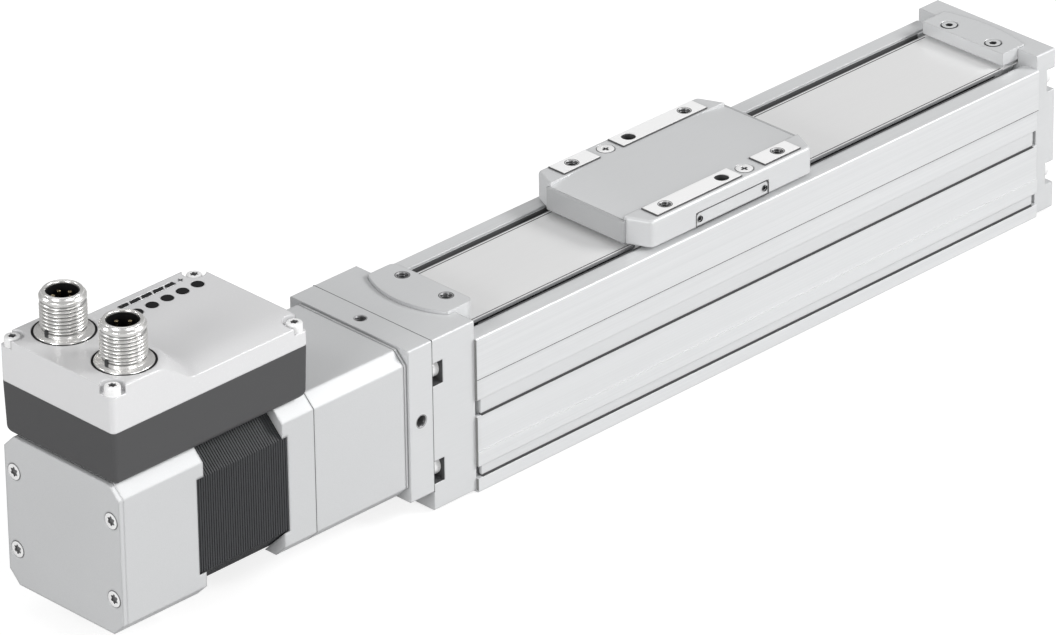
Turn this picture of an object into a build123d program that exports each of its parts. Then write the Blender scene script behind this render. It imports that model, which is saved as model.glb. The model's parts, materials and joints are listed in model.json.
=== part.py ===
from build123d import *
from math import atan2, ceil, cos, degrees, floor, pi, radians, sin, sqrt
import os

# Ball screw linear axis with a built-on stepper drive. All sizes in millimetres.
# X runs along the axis with the motor at minus X, Y across it, Z up.
# The origin is the middle of the profile's underside.

os.makedirs("parts", exist_ok=True)

# Clearances
running_gap = 0.3
small_running_gap = 0.15
bearing_fit = 0.05
assembly_gap = 0.05
screw_gap = 0.1
screw_hole_spare = 1.0
socket_share = 0.5

# Profile
profile_length = 212.0
profile_width = 45.0
profile_height = 44.5
profile_edge_radius = 0.5
floor_thickness = 4.0
side_wall = 7.2
throat_step = 1.3
throat_depth = 2.7
lip_rib_width = 0.6
lip_rib_drop = 0.4
lip_groove_width = 0.4
lip_groove_depth = 1.2
side_recess_depth = 0.4
side_recess_low = 11.7
side_recess_high = 32.6
sensor_slot_low = 21.9
sensor_slot_high = 26.5
sensor_slot_depth = 3.1
sensor_slot_lip = 1.5
sensor_slot_undercut = 0.8
foot_slot_low = 4.1
foot_slot_high = 7.6
foot_slot_depth = 3.0

# Slot covers
slot_cover_set_back = 0.55
slot_cover_hook = 0.7
slot_cover_hook_reach = 0.4
slot_cover_low_gap = 0.5
slot_cover_end_gap = 1.6

# Cover band and its clamps
band_edge_gap = 2.1
band_thickness = 0.3
band_sink = 0.5
band_overlap = 2.0
clamp_corner_radius = 2.2
clamp_lift = 0.9
clamp_side_overlap = 0.1
clamp_foot_set_back = 1.5
clamp_hole_spacing = 16.0
motor_clamp_proud = 0.9
motor_clamp_overhang = 7.0
motor_clamp_arc_end = 2.3
motor_clamp_arc_apex = 6.5
motor_clamp_hole_from_cap = 3.6
motor_clamp_thread_radius = 1.65
far_clamp_proud = 0.5
far_clamp_overhang = 6.0
far_clamp_arc_end = 2.5
far_clamp_arc_apex = 4.7
far_clamp_hole_from_cap = 2.7
far_clamp_screw_radius = 1.5
far_clamp_head_radius = 2.5
far_clamp_head_height = 1.3
far_clamp_screw_length = 9.0

# End caps
bearing_cap_length = 14.8
far_cap_length = 7.2
cap_side_set_back = 0.9
cap_bottom = 0.5
bearing_cap_rise = 5.0
far_cap_rise = 3.9
cap_edge_radius = 0.5
cap_window_depth_x = 3.7
far_notch_depth_x = 3.0
cap_window_depth_y = 7.0
cap_window_height = 6.6
tongue_length = 7.5
tongue_side_gap = 2.3
tongue_height = 6.5

# Cap screws
cap_screw_side_inset = 5.0
cap_screw_top_inset = 5.0
cap_screw_lower_z = 11.4
cap_screw_radius = 1.5
cap_screw_head_radius = 2.75
cap_screw_head_length = 2.9
cap_screw_grip = 10.0

# Screw spindle and its bearings
axis_z = 28.0
spindle_radius = 5.0
spindle_lead = 10.0
spindle_end_gap = 1.0
track_run_out = 2.0
track_radius = 1.05
track_centre_radius = 5.25
nut_recess_margin = 0.3
nut_recess_depth = 1.5
fixed_journal_radius = 4.0
coupling_journal_radius = 3.0
far_journal_radius = 3.0
fixed_bearing_radius = 11.0
fixed_bearing_width = 11.0
fixed_bearing_inner_wall = 2.2
fixed_bearing_outer_wall = 2.2
fixed_bearing_ball_count = 9
cap_bore_radius = 6.5
far_bearing_radius = 6.5
far_bearing_width = 5.0
far_bearing_ring_wall = 1.2
lock_nut_radius = 7.0
lock_nut_width = 4.5
buffer_radius = 9.4
buffer_bore_radius = 6.5
buffer_length = 8.0

# Adapter plate
adapter_length = 8.2
adapter_bottom = 5.9
adapter_bore_radius = 9.0
adapter_top_hole_radius = 1.5
adapter_side_hole_radius = 1.65
adapter_hole_depth = 6.0
adapter_screw_circle = 13.4
adapter_screw_radius = 1.5
adapter_screw_head_radius = 2.7
adapter_screw_head_length = 3.0
adapter_screw_grip = 5.0

# Coupling and its housing
motor_size = 42.0
motor_chamfer = 3.5
coupling_housing_length = 32.2
coupling_housing_bore = 16.8
housing_lip_thickness = 0.6
housing_neck_length = 0.35
housing_neck_depth = 0.7
hub_radius = 9.5
hub_length = 11.0
hub_jaw_length = 4.0
star_web_radius = 3.2
motor_shaft_stickout = 14.0
star_arm_width = 2.0
hub_end_gap = 1.0
motor_hub_from_flange = 3.5

# Motor
flange_length = 9.0
flange_tab_length = 1.9
stack_length = 30.8
stack_chamfer = 7.6
stack_inset = 0.25
stack_bore_radius = 13.0
stack_laminations = 39
lamination_gap_share = 0.35
lamination_step = 0.25
rear_housing_length = 24.1
rear_tab_length = 2.3
end_plate_thickness = 1.5
end_plate_screw_y = 17.8
end_plate_screw_z = 11.0
end_plate_screw_radius = 1.25
end_plate_head_radius = 2.45
end_plate_head_height = 1.2
end_plate_screw_length = 7.0
motor_shaft_radius = 2.5
rotor_radius = 12.7
rotor_end_gap = 3.0
motor_bearing_radius = 8.0
motor_bearing_width = 5.0
encoder_room_radius = 15.0
encoder_magnet_radius = 4.0
encoder_magnet_thickness = 2.5
encoder_board_radius = 13.0
encoder_board_thickness = 1.2
encoder_air_gap = 0.8

# Electronics box
box_length = 65.0
box_half_width = 20.6
box_overhang = 0.4
box_corner_radius = 1.3
base_height = 15.2
base_draft = 2.0
base_bottom_radius = 2.5
box_wall = 2.0
box_cavity_half_width = 15.2
box_cavity_end = 4.6
deck_height = 12.2
panel_height = 6.8
panel_edge_drop = 1.0
panel_flat_edge = 12.0
deck_ramp = 5.5
deck_edge_radius = 2.6
deck_foot_radius = 5.0
lid_screw_inset = 2.35
lid_screw_radius = 1.2
lid_screw_head_radius = 2.1
lid_screw_head_height = 2.4
lid_pocket_radius = 3.1
lid_pocket_below_deck = 2.45
lid_pocket_below_panel = 2.85
lid_screw_reach = 11.0
lid_thread_depth = 12.0
board_thickness = 1.6
board_height = 10.5
board_shelf = 1.4

# Connectors
connector_from_end = 12.9
connector_y = 10.95
connector_thread_radius = 6.0
connector_thread_height = 11.5
connector_collar_radius = 7.6
connector_collar_rise = 0.3
connector_neck_radius = 5.3
connector_neck_height = 1.1
connector_bore_radius = 4.25
connector_tip_chamfer = 0.7
connector_seat_depth = 3.0
contact_tail = 1.0
seal_ring_width = 0.55
seal_ring_depth = 1.0
contact_floor_depth = 8.0
contact_radius = 0.5
contact_tip_depth = 1.6
contact_circle = 2.4
signal_contacts = 5
power_contacts = 4

# Push buttons and light bar
button_count = 6
last_button_from_ramp = 5.25
button_radius = 1.55
button_collar_radius = 2.1
button_collar_thickness = 1.0
button_rise = 0.15
button_y = 12.8
first_button_from_end = 6.1
light_bar_y = 17.55
light_bar_width = 1.7
light_bar_from_end = 9.5
light_segment_length = 3.3
light_segment_gap = 0.6
light_segments = 5
light_bar_depth = 3.0
light_bar_room = 0.4

# Slide
slide_home = -11.2
slide_half_length = 32.5
slide_side_set_back = 1.55
slide_facet_x = 2.8
slide_facet_y = 6.35
slide_gap = 1.0
slide_height = 7.6
slide_edge_radius = 0.9
slide_corner_radius = 1.8
crown_flat_half = 19.0
crown_half_width = 13.4
crown_drop = 1.1
wiper_thickness = 1.1
wiper_chamfer = 0.35
wiper_half_width = 14.1
wiper_tongue = 2.2
wiper_tongue_set_in = 1.0
wiper_tongue_height = 4.0
strip_proud = 0.5
strip_depth = 1.0
strip_width = 5.6
strip_side_inset = 3.95
strip_outer_x = 26.6
short_strip_inner_x = 13.4
long_strip_inner_x = 4.6
slide_thread_x = 21.0
slide_thread_radius = 1.65
slide_thread_depth = 6.0
slide_dowel_radius = 2.0
slide_dowel_depth = 4.0
slide_screw_x = 8.5
slide_screw_radius = 1.4
slide_screw_head_radius = 2.6
slide_screw_head_height = 1.4
slide_screw_length = 7.0
side_cover_half_length = 13.35
side_cover_height = 3.7
side_cover_thickness = 1.0
side_cover_set_in = 0.15
side_cover_corner = 1.2
side_cover_room = 0.2
side_cover_screw_x = 12.05
side_cover_screw_radius = 0.5
side_cover_head_radius = 0.85
side_cover_head_height = 0.35
side_cover_screw_length = 2.5
magnet_length = 12.0
magnet_height = 3.0
magnet_depth = 3.0

# Inner carriage, runner and ball nut
carriage_half_length = 30.0
carriage_bottom = 17.0
carriage_band_gap = 0.5
web_thickness = 1.4
carriage_flange_side_wall = 1.75
carriage_flange_gap = 0.6
carriage_flange_thickness = 1.7
rail_width = 12.0
rail_height = 8.0
rail_end_gap = 6.0
rail_waist = 0.9
rail_screw_pitch = 40.0
rail_screw_count = 5
rail_screw_radius = 1.5
rail_screw_head_radius = 2.9
rail_screw_head_height = 2.6
rail_screw_sink = 4.5
rail_screw_tip = 1.5
rail_thread_end = 1.0
runner_half_length = 19.5
runner_side_gap = 1.8
runner_lift = 3.0
runner_cap_thickness = 3.0
runner_cap_step = 1.0
nut_radius = 9.5
nut_length = 28.0
nut_flange_radius = 14.5
nut_flange_thickness = 4.0
nut_screw_circle = 11.9
nut_screw_radius = 1.25
nut_screw_head_radius = 2.3
nut_screw_head_length = 2.2
nut_screw_grip = 6.0
nut_bore_gap = 0.3

# Stations along X, from the profile towards the motor
x_cap = -profile_length / 2
x_far = profile_length / 2
x_adapter = x_cap - bearing_cap_length
x_coupling = x_adapter - adapter_length
x_flange = x_coupling - coupling_housing_length
x_stack = x_flange - flange_length
x_rear = x_stack - stack_length
x_plate = x_rear - rear_housing_length
x_end = x_plate - end_plate_thickness
x_box = x_end - box_overhang
x_box_front = x_box + box_length
x_fixed_bearing = x_adapter + fixed_bearing_width
x_far_bearing = x_far + assembly_gap

# Widths and heights that follow the profile
cavity_half_width = profile_width / 2 - side_wall
throat_half_width = cavity_half_width + throat_step
throat_bottom = profile_height - throat_depth
band_half_width = throat_half_width - band_edge_gap
band_bottom = profile_height - band_sink
band_top = band_bottom + band_thickness
clamp_underside = band_top + clamp_lift
clamp_half_width = band_half_width + clamp_side_overlap
cap_half_width = profile_width / 2 - cap_side_set_back
bearing_cap_top = profile_height + bearing_cap_rise
far_cap_top = profile_height + far_cap_rise
motor_clamp_top = bearing_cap_top + motor_clamp_proud
far_clamp_top = far_cap_top + far_clamp_proud
tongue_half_width = cavity_half_width - tongue_side_gap
cap_screw_y = profile_width / 2 - cap_screw_side_inset
cap_screw_upper_z = profile_height - cap_screw_top_inset
slide_half_width = profile_width / 2 - slide_side_set_back
slide_bottom = profile_height + slide_gap
slide_top = slide_bottom + slide_height
strip_y = slide_half_width - strip_side_inset
carriage_block_half_width = cavity_half_width - running_gap
carriage_deck_bottom = throat_bottom + running_gap
carriage_deck_top = band_bottom - carriage_band_gap
carriage_flange_half_width = slide_half_width - carriage_flange_side_wall
carriage_flange_bottom = profile_height + carriage_flange_gap
runner_width = 2 * (cavity_half_width - runner_side_gap)

# Other heights
motor_top = axis_z + motor_size / 2
box_split = motor_top + base_height
deck_top = box_split + deck_height
panel_top = box_split + panel_height
rail_top = floor_thickness + rail_height
runner_bottom = floor_thickness + runner_lift
board_bottom = motor_top + board_height


def save(piece, name):
    """Labels a finished piece and writes it under its node name."""
    piece.part.label = name
    export_step(piece.part, f"parts/{name}.step")


def ring(x_low, x_high, outer, inner):
    """A plain ring about the screw axis, added to the part being built."""
    with BuildSketch(Plane.YZ.offset(x_low)) as section:
        with Locations((0, axis_z)):
            Circle(outer)
            if inner > 0:
                Circle(inner, mode=Mode.SUBTRACT)
    extrude(section.sketch, amount=x_high - x_low)


def motor_block(x_low, x_high, chamfer_size, inset=0.0):
    """A square motor section with chamfered corners."""
    with BuildSketch(Plane.YZ.offset(x_low)) as section:
        with Locations((0, axis_z)):
            Rectangle(motor_size - 2 * inset, motor_size - 2 * inset)
        chamfer(section.vertices(), chamfer_size)
    extrude(section.sketch, amount=x_high - x_low)


def corner_tabs(x_low, x_high):
    """Four corner strips that bridge the cut corners of the laminated stack."""
    with BuildSketch(Plane.YZ) as core:
        with Locations((0, axis_z)):
            Rectangle(motor_size, motor_size)
        chamfer(core.vertices(), stack_chamfer)
    with BuildSketch(Plane.YZ.offset(x_low)) as section:
        with Locations((0, axis_z)):
            Rectangle(motor_size, motor_size)
        chamfer(section.vertices(), motor_chamfer)
        add(core.sketch_local, mode=Mode.SUBTRACT)
    extrude(section.sketch, amount=x_high - x_low)


def discs_along_x(places, x_start, radius, length, mode=Mode.ADD):
    """A disc at each place (y, z), from x_start over a signed length."""
    with BuildSketch(Plane.YZ.offset(x_start)) as section:
        with Locations(*places):
            Circle(radius)
    extrude(section.sketch, amount=length, mode=mode)


def screw_along_x(places, x_seat, direction, sizes):
    """Socket head screws along X; the head stands out of x_seat against direction."""
    radius, length, head_radius, head_length = sizes
    discs_along_x(places, x_seat, head_radius, -direction * head_length)
    discs_along_x(places, x_seat, radius, direction * length)
    with BuildSketch(Plane.YZ.offset(x_seat - direction * head_length)) as socket:
        with Locations(*places):
            RegularPolygon(head_radius * socket_share, 6)
    extrude(socket.sketch, amount=direction * head_length * socket_share, mode=Mode.SUBTRACT)


def clamp_outline(x_face, away, sizes, grow=0.0):
    """Outline of a band clamp: straight front, curved back. away is -1 or 1."""
    half_width, overhang, arc_end, arc_apex = sizes
    half = half_width + grow
    x_front = x_face - away * (overhang + grow)
    x_corner = x_face + away * (arc_end + grow)
    x_apex = x_face + away * (arc_apex + grow)
    with BuildLine() as edge:
        Polyline((x_corner, -half), (x_front, -half), (x_front, half), (x_corner, half))
        ThreePointArc((x_corner, half), (x_apex, 0), (x_corner, -half))
    make_face(edge.edges())


motor_clamp_sizes = (
    clamp_half_width,
    motor_clamp_overhang,
    motor_clamp_arc_end,
    motor_clamp_arc_apex,
)
far_clamp_sizes = (clamp_half_width, far_clamp_overhang, far_clamp_arc_end, far_clamp_arc_apex)
cap_screw_places = [
    (side * cap_screw_y, height)
    for side in (-1, 1)
    for height in (cap_screw_lower_z, cap_screw_upper_z)
]
cap_screw_sizes = (
    cap_screw_radius,
    bearing_cap_length - cap_window_depth_x + cap_screw_grip,
    cap_screw_head_radius,
    cap_screw_head_length,
)
far_screw_grip = cap_screw_sizes[1] - far_cap_length + far_notch_depth_x


# Extruded profile: open top, two slots down each side
with BuildPart() as profile:
    with BuildSketch(Plane.YZ.offset(x_cap)) as section:
        with Locations((0, profile_height / 2)):
            Rectangle(profile_width, profile_height)
        fillet(section.vertices(), profile_edge_radius)
        with Locations((0, (floor_thickness + profile_height) / 2)):
            Rectangle(2 * cavity_half_width, profile_height - floor_thickness, mode=Mode.SUBTRACT)
        with Locations((0, (throat_bottom + profile_height) / 2)):
            Rectangle(2 * throat_half_width, profile_height - throat_bottom, mode=Mode.SUBTRACT)
        rib_mid = throat_half_width + lip_rib_width / 2
        groove_mid = throat_half_width + lip_rib_width + lip_groove_width / 2
        face_y = profile_width / 2
        slot_mid = (sensor_slot_low + sensor_slot_high) / 2
        slot_height = sensor_slot_high - sensor_slot_low
        undercut_depth = sensor_slot_depth - sensor_slot_lip
        foot_mid = (foot_slot_low + foot_slot_high) / 2
        recess_mid = (side_recess_low + side_recess_high) / 2
        for side in (-1, 1):
            with Locations((side * rib_mid, profile_height - lip_rib_drop / 2)):
                Rectangle(lip_rib_width, lip_rib_drop, mode=Mode.SUBTRACT)
            with Locations((side * groove_mid, profile_height - lip_groove_depth / 2)):
                Rectangle(lip_groove_width, lip_groove_depth, mode=Mode.SUBTRACT)
            with Locations((side * (face_y - side_recess_depth / 2), recess_mid)):
                Rectangle(side_recess_depth, side_recess_high - side_recess_low, mode=Mode.SUBTRACT)
            with Locations((side * (face_y - sensor_slot_depth / 2), slot_mid)):
                Rectangle(sensor_slot_depth, slot_height, mode=Mode.SUBTRACT)
            with Locations((side * (face_y - sensor_slot_lip - undercut_depth / 2), slot_mid)):
                Rectangle(undercut_depth, slot_height + 2 * sensor_slot_undercut, mode=Mode.SUBTRACT)
            with Locations((side * (face_y - foot_slot_depth / 2), foot_mid)):
                Rectangle(foot_slot_depth, foot_slot_high - foot_slot_low, mode=Mode.SUBTRACT)
    extrude(amount=profile_length)
    for x_face, inward, grip in ((x_cap, 1, cap_screw_grip), (x_far, -1, far_screw_grip)):
        with BuildSketch(Plane.YZ.offset(x_face)):
            with Locations(*cap_screw_places):
                Circle(cap_screw_radius + screw_gap)
        extrude(amount=inward * (grip + screw_hole_spare), mode=Mode.SUBTRACT)
    rail_screw_spots = [
        ((index - (rail_screw_count - 1) / 2) * rail_screw_pitch, 0) for index in range(rail_screw_count)
    ]
    with BuildSketch(Plane.XY.offset(floor_thickness)):
        with Locations(*rail_screw_spots):
            Circle(rail_screw_radius + screw_gap)
    extrude(amount=-(floor_thickness - rail_thread_end), mode=Mode.SUBTRACT)
save(profile, "profile")

# Recessed covers in the two pairs of side slots
with BuildPart() as slot_covers:
    cover_start = x_cap + slot_cover_end_gap
    cover_length = profile_length - 2 * slot_cover_end_gap
    cover_back = sensor_slot_lip + assembly_gap
    cover_front_y = profile_width / 2 - (slot_cover_set_back + cover_back) / 2
    hook_y = profile_width / 2 - cover_back - slot_cover_hook / 2
    hook_height = slot_height + 2 * slot_cover_hook_reach
    with BuildSketch(Plane.YZ.offset(cover_start)):
        for side in (-1, 1):
            for low, high in ((sensor_slot_low, sensor_slot_high), (foot_slot_low, foot_slot_high)):
                cover_low = low + slot_cover_low_gap
                cover_high = high - assembly_gap
                with Locations((side * cover_front_y, (cover_low + cover_high) / 2)):
                    Rectangle(cover_back - slot_cover_set_back, cover_high - cover_low)
            with Locations((side * hook_y, slot_mid)):
                Rectangle(slot_cover_hook, hook_height)
    extrude(amount=cover_length)
save(slot_covers, "slot_covers")

# Stainless band along the open top, with holes for the far clamp's screws
clamp_hole_y = clamp_hole_spacing / 2
far_clamp_spots = [(x_far - far_clamp_hole_from_cap, side * clamp_hole_y) for side in (-1, 1)]
with BuildPart() as cover_band:
    with BuildSketch(Plane.XY.offset(band_bottom)):
        Rectangle(profile_length + 2 * band_overlap, 2 * band_half_width)
        with Locations(*far_clamp_spots):
            Circle(far_clamp_screw_radius + screw_gap, mode=Mode.SUBTRACT)
    extrude(amount=band_thickness)
save(cover_band, "cover_band")

# Guide rail with waisted flanks on the cavity floor
with BuildPart() as guide_rail:
    rail_length = profile_length - 2 * rail_end_gap
    with BuildSketch(Plane.YZ.offset(-rail_length / 2)):
        with BuildLine():
            Polyline(
                (-rail_width / 2, floor_thickness),
                (rail_width / 2, floor_thickness),
                (rail_width / 2, floor_thickness + rail_height * 0.4),
                (rail_width / 2 - rail_waist, floor_thickness + rail_height * 0.6),
                (rail_width / 2, rail_top - rail_waist),
                (rail_width / 2 - rail_waist, rail_top),
                (-rail_width / 2 + rail_waist, rail_top),
                (-rail_width / 2, rail_top - rail_waist),
                (-rail_width / 2 + rail_waist, floor_thickness + rail_height * 0.6),
                (-rail_width / 2, floor_thickness + rail_height * 0.4),
                close=True,
            )
        make_face()
    extrude(amount=rail_length)
    with BuildSketch(Plane.XY.offset(rail_top)):
        with Locations(*rail_screw_spots):
            Circle(rail_screw_head_radius + screw_gap)
    extrude(amount=-rail_screw_sink, mode=Mode.SUBTRACT)
    with BuildSketch(Plane.XY.offset(rail_top)):
        with Locations(*rail_screw_spots):
            Circle(rail_screw_radius + screw_gap)
    extrude(amount=-rail_height, mode=Mode.SUBTRACT)
save(guide_rail, "guide_rail")

with BuildPart() as rail_screws:
    head_seat = rail_top - rail_screw_sink
    with BuildSketch(Plane.XY.offset(head_seat)):
        with Locations(*rail_screw_spots):
            Circle(rail_screw_head_radius)
    extrude(amount=rail_screw_head_height)
    with BuildSketch(Plane.XY.offset(head_seat)):
        with Locations(*rail_screw_spots):
            Circle(rail_screw_radius)
    extrude(amount=-(head_seat - rail_screw_tip))
    with BuildSketch(Plane.XY.offset(head_seat + rail_screw_head_height)):
        with Locations(*rail_screw_spots):
            RegularPolygon(rail_screw_head_radius * socket_share, 6)
    extrude(amount=-rail_screw_head_height * socket_share, mode=Mode.SUBTRACT)
save(rail_screws, "rail_screws")

# Bearing cap: bearing seat, windows over the screw heads, pocket for the band clamp
window_heights = (cap_screw_lower_z, cap_screw_upper_z)
with BuildPart() as bearing_cap:
    with BuildSketch(Plane.YZ.offset(x_adapter)) as outline:
        with Locations((0, (cap_bottom + bearing_cap_top) / 2)):
            Rectangle(2 * cap_half_width, bearing_cap_top - cap_bottom)
        fillet(outline.vertices(), cap_edge_radius)
    extrude(amount=bearing_cap_length)
    with BuildSketch(Plane.YZ.offset(x_cap)):
        with Locations((0, band_bottom - tongue_height / 2)):
            Rectangle(2 * tongue_half_width, tongue_height)
    extrude(amount=tongue_length)
    with BuildSketch(Plane.YZ.offset(x_adapter)):
        with Locations((0, axis_z)):
            Circle(fixed_bearing_radius)
    extrude(amount=fixed_bearing_width, mode=Mode.SUBTRACT)
    with BuildSketch(Plane.YZ.offset(x_adapter)):
        with Locations((0, axis_z)):
            Circle(cap_bore_radius)
    extrude(amount=bearing_cap_length, mode=Mode.SUBTRACT)
    with BuildSketch(Plane.YZ.offset(x_adapter)):
        for side in (-1, 1):
            for height in window_heights:
                with Locations((side * (cap_half_width - cap_window_depth_y / 2), height)):
                    Rectangle(cap_window_depth_y, cap_window_height)
    extrude(amount=cap_window_depth_x, mode=Mode.SUBTRACT)
    with BuildSketch(Plane.YZ.offset(x_adapter)):
        with Locations(*cap_screw_places):
            Circle(cap_screw_radius + screw_gap)
    extrude(amount=bearing_cap_length, mode=Mode.SUBTRACT)
    with BuildSketch(Plane.XY.offset(band_bottom)):
        clamp_outline(x_cap, -1, motor_clamp_sizes, assembly_gap)
    extrude(amount=bearing_cap_top - band_bottom, mode=Mode.SUBTRACT)
    adapter_screw_spots = [
        (adapter_screw_circle * cos(radians(angle)), axis_z + adapter_screw_circle * sin(radians(angle)))
        for angle in (45, 135, 225, 315)
    ]
    with BuildSketch(Plane.YZ.offset(x_adapter)):
        with Locations(*adapter_screw_spots):
            Circle(adapter_screw_radius + screw_gap)
    extrude(amount=adapter_screw_grip + screw_hole_spare, mode=Mode.SUBTRACT)
save(bearing_cap, "bearing_cap")

# Band clamp at the motor end, with a curved back edge and two open threads
motor_clamp_spots = [(x_cap + motor_clamp_hole_from_cap, side * clamp_hole_y) for side in (-1, 1)]
with BuildPart() as motor_end_clamp:
    with BuildSketch(Plane.XY.offset(clamp_underside)) as outline:
        clamp_outline(x_cap, -1, motor_clamp_sizes)
        fillet(outline.vertices().group_by(Axis.X)[-1], clamp_corner_radius)
    extrude(amount=motor_clamp_top - clamp_underside)
    with BuildSketch(Plane.XY.offset(band_top)):
        clamp_outline(x_cap, -1, motor_clamp_sizes, -clamp_foot_set_back)
    extrude(amount=clamp_underside - band_top)
    with BuildSketch(Plane.XY.offset(band_top)):
        with Locations(*motor_clamp_spots):
            Circle(motor_clamp_thread_radius)
    extrude(amount=motor_clamp_top - band_top, mode=Mode.SUBTRACT)
save(motor_end_clamp, "motor_end_clamp")

# Far end cap: bearing seat, open corner notches, pocket for the band clamp
with BuildPart() as far_cap:
    with BuildSketch(Plane.YZ.offset(x_far)) as outline:
        with Locations((0, (cap_bottom + far_cap_top) / 2)):
            Rectangle(2 * cap_half_width, far_cap_top - cap_bottom)
        fillet(outline.vertices(), cap_edge_radius)
    extrude(amount=far_cap_length)
    with BuildSketch(Plane.YZ.offset(x_far)):
        with Locations((0, band_bottom - tongue_height / 2)):
            Rectangle(2 * tongue_half_width, tongue_height)
    extrude(amount=-tongue_length)
    with BuildSketch(Plane.YZ.offset(x_far)):
        with Locations((0, axis_z)):
            Circle(far_bearing_radius)
    extrude(amount=far_bearing_width + 2 * assembly_gap, mode=Mode.SUBTRACT)
    x_far_end = x_far + far_cap_length
    with BuildSketch(Plane.YZ.offset(x_far_end)):
        for side in (-1, 1):
            for height in window_heights:
                with Locations((side * (cap_half_width - cap_window_depth_y / 2), height)):
                    Rectangle(cap_window_depth_y, cap_window_height)
    extrude(amount=-far_notch_depth_x, mode=Mode.SUBTRACT)
    with BuildSketch(Plane.YZ.offset(x_far)):
        with Locations(*cap_screw_places):
            Circle(cap_screw_radius + screw_gap)
    extrude(amount=far_cap_length, mode=Mode.SUBTRACT)
    with BuildSketch(Plane.XY.offset(band_bottom)):
        clamp_outline(x_far, 1, far_clamp_sizes, assembly_gap)
    extrude(amount=far_cap_top - band_bottom, mode=Mode.SUBTRACT)
    with BuildSketch(Plane.XY.offset(band_bottom)):
        with Locations(*far_clamp_spots):
            Circle(far_clamp_screw_radius + screw_gap)
    extrude(amount=-tongue_height + 1, mode=Mode.SUBTRACT)
save(far_cap, "far_cap")

# Eight equal screws hold both caps to the profile
with BuildPart() as cap_screws:
    screw_along_x(cap_screw_places, x_adapter + cap_window_depth_x, 1, cap_screw_sizes)
    screw_along_x(cap_screw_places, x_far_end - far_notch_depth_x, -1, cap_screw_sizes)
save(cap_screws, "cap_screws")

# Band clamp at the far end, with two countersunk socket screws
with BuildPart() as far_end_clamp:
    with BuildSketch(Plane.XY.offset(clamp_underside)):
        clamp_outline(x_far, 1, far_clamp_sizes)
    extrude(amount=far_clamp_top - clamp_underside)
    with BuildSketch(Plane.XY.offset(band_top)):
        clamp_outline(x_far, 1, far_clamp_sizes, -clamp_foot_set_back)
    extrude(amount=clamp_underside - band_top)
    with BuildSketch(Plane.XY.offset(band_top)):
        with Locations(*far_clamp_spots):
            Circle(far_clamp_screw_radius + screw_gap)
    extrude(amount=far_clamp_top - band_top, mode=Mode.SUBTRACT)
    for spot_x, spot_y in far_clamp_spots:
        with BuildSketch(Plane.XY.offset(far_clamp_top)):
            with Locations((spot_x, spot_y)):
                Circle(far_clamp_head_radius + screw_gap)
        with BuildSketch(Plane.XY.offset(far_clamp_top - far_clamp_head_height)):
            with Locations((spot_x, spot_y)):
                Circle(far_clamp_screw_radius + screw_gap)
        loft(mode=Mode.SUBTRACT)
save(far_end_clamp, "far_end_clamp")

with BuildPart() as far_clamp_screws:
    for spot_x, spot_y in far_clamp_spots:
        with BuildSketch(Plane.XY.offset(far_clamp_top)):
            with Locations((spot_x, spot_y)):
                Circle(far_clamp_head_radius)
        with BuildSketch(Plane.XY.offset(far_clamp_top - far_clamp_head_height)):
            with Locations((spot_x, spot_y)):
                Circle(far_clamp_screw_radius)
        loft()
    with BuildSketch(Plane.XY.offset(far_clamp_top - far_clamp_head_height)):
        with Locations(*far_clamp_spots):
            Circle(far_clamp_screw_radius)
    extrude(amount=-(far_clamp_screw_length - far_clamp_head_height))
    with BuildSketch(Plane.XY.offset(far_clamp_top)):
        with Locations(*far_clamp_spots):
            RegularPolygon(far_clamp_screw_radius * 0.7, 6)
    extrude(amount=-far_clamp_head_height, mode=Mode.SUBTRACT)
save(far_clamp_screws, "far_clamp_screws")

# Fixed bearing in the bearing cap, floating bearing in the far cap
ball_circle = (
    fixed_journal_radius
    + fixed_bearing_inner_wall
    + (fixed_bearing_radius - fixed_bearing_outer_wall - fixed_journal_radius - fixed_bearing_inner_wall) / 2
)
bearing_low = x_adapter
bearing_mid = bearing_low + fixed_bearing_width / 2
with BuildPart() as bearing_outer_rings:
    ring(
        bearing_low,
        bearing_low + fixed_bearing_width,
        fixed_bearing_radius - bearing_fit,
        fixed_bearing_radius - fixed_bearing_outer_wall,
    )
    ring(
        x_far_bearing,
        x_far_bearing + far_bearing_width,
        far_bearing_radius - bearing_fit,
        far_bearing_radius - far_bearing_ring_wall,
    )
save(bearing_outer_rings, "bearing_outer_rings")

with BuildPart() as bearing_inner_rings:
    ring(
        bearing_low,
        bearing_low + fixed_bearing_width,
        fixed_journal_radius + fixed_bearing_inner_wall,
        fixed_journal_radius + bearing_fit,
    )
    ring(
        x_far_bearing,
        x_far_bearing + far_bearing_width,
        far_bearing_radius - far_bearing_ring_wall - running_gap,
        far_journal_radius + bearing_fit,
    )
save(bearing_inner_rings, "bearing_inner_rings")

ball_room = fixed_bearing_radius - fixed_bearing_outer_wall - fixed_journal_radius - fixed_bearing_inner_wall
ball_radius = ball_room / 2 - small_running_gap
with BuildPart() as fixed_bearing_balls:
    for index in range(fixed_bearing_ball_count):
        angle = 2 * pi * index / fixed_bearing_ball_count
        with Locations((bearing_mid, ball_circle * cos(angle), axis_z + ball_circle * sin(angle))):
            Sphere(ball_radius)
save(fixed_bearing_balls, "fixed_bearing_balls")

with BuildPart() as lock_nut:
    with BuildSketch(Plane.YZ.offset(bearing_low - lock_nut_width)):
        with Locations((0, axis_z)):
            RegularPolygon(lock_nut_radius, 6)
            Circle(fixed_journal_radius + bearing_fit, mode=Mode.SUBTRACT)
    extrude(amount=lock_nut_width)
save(lock_nut, "lock_nut")

# Rubber buffers on the inner faces of both caps
with BuildPart() as end_buffers:
    ring(x_cap, x_cap + buffer_length, buffer_radius, buffer_bore_radius)
    ring(x_far - buffer_length, x_far, buffer_radius, buffer_bore_radius)
save(end_buffers, "end_buffers")

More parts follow.
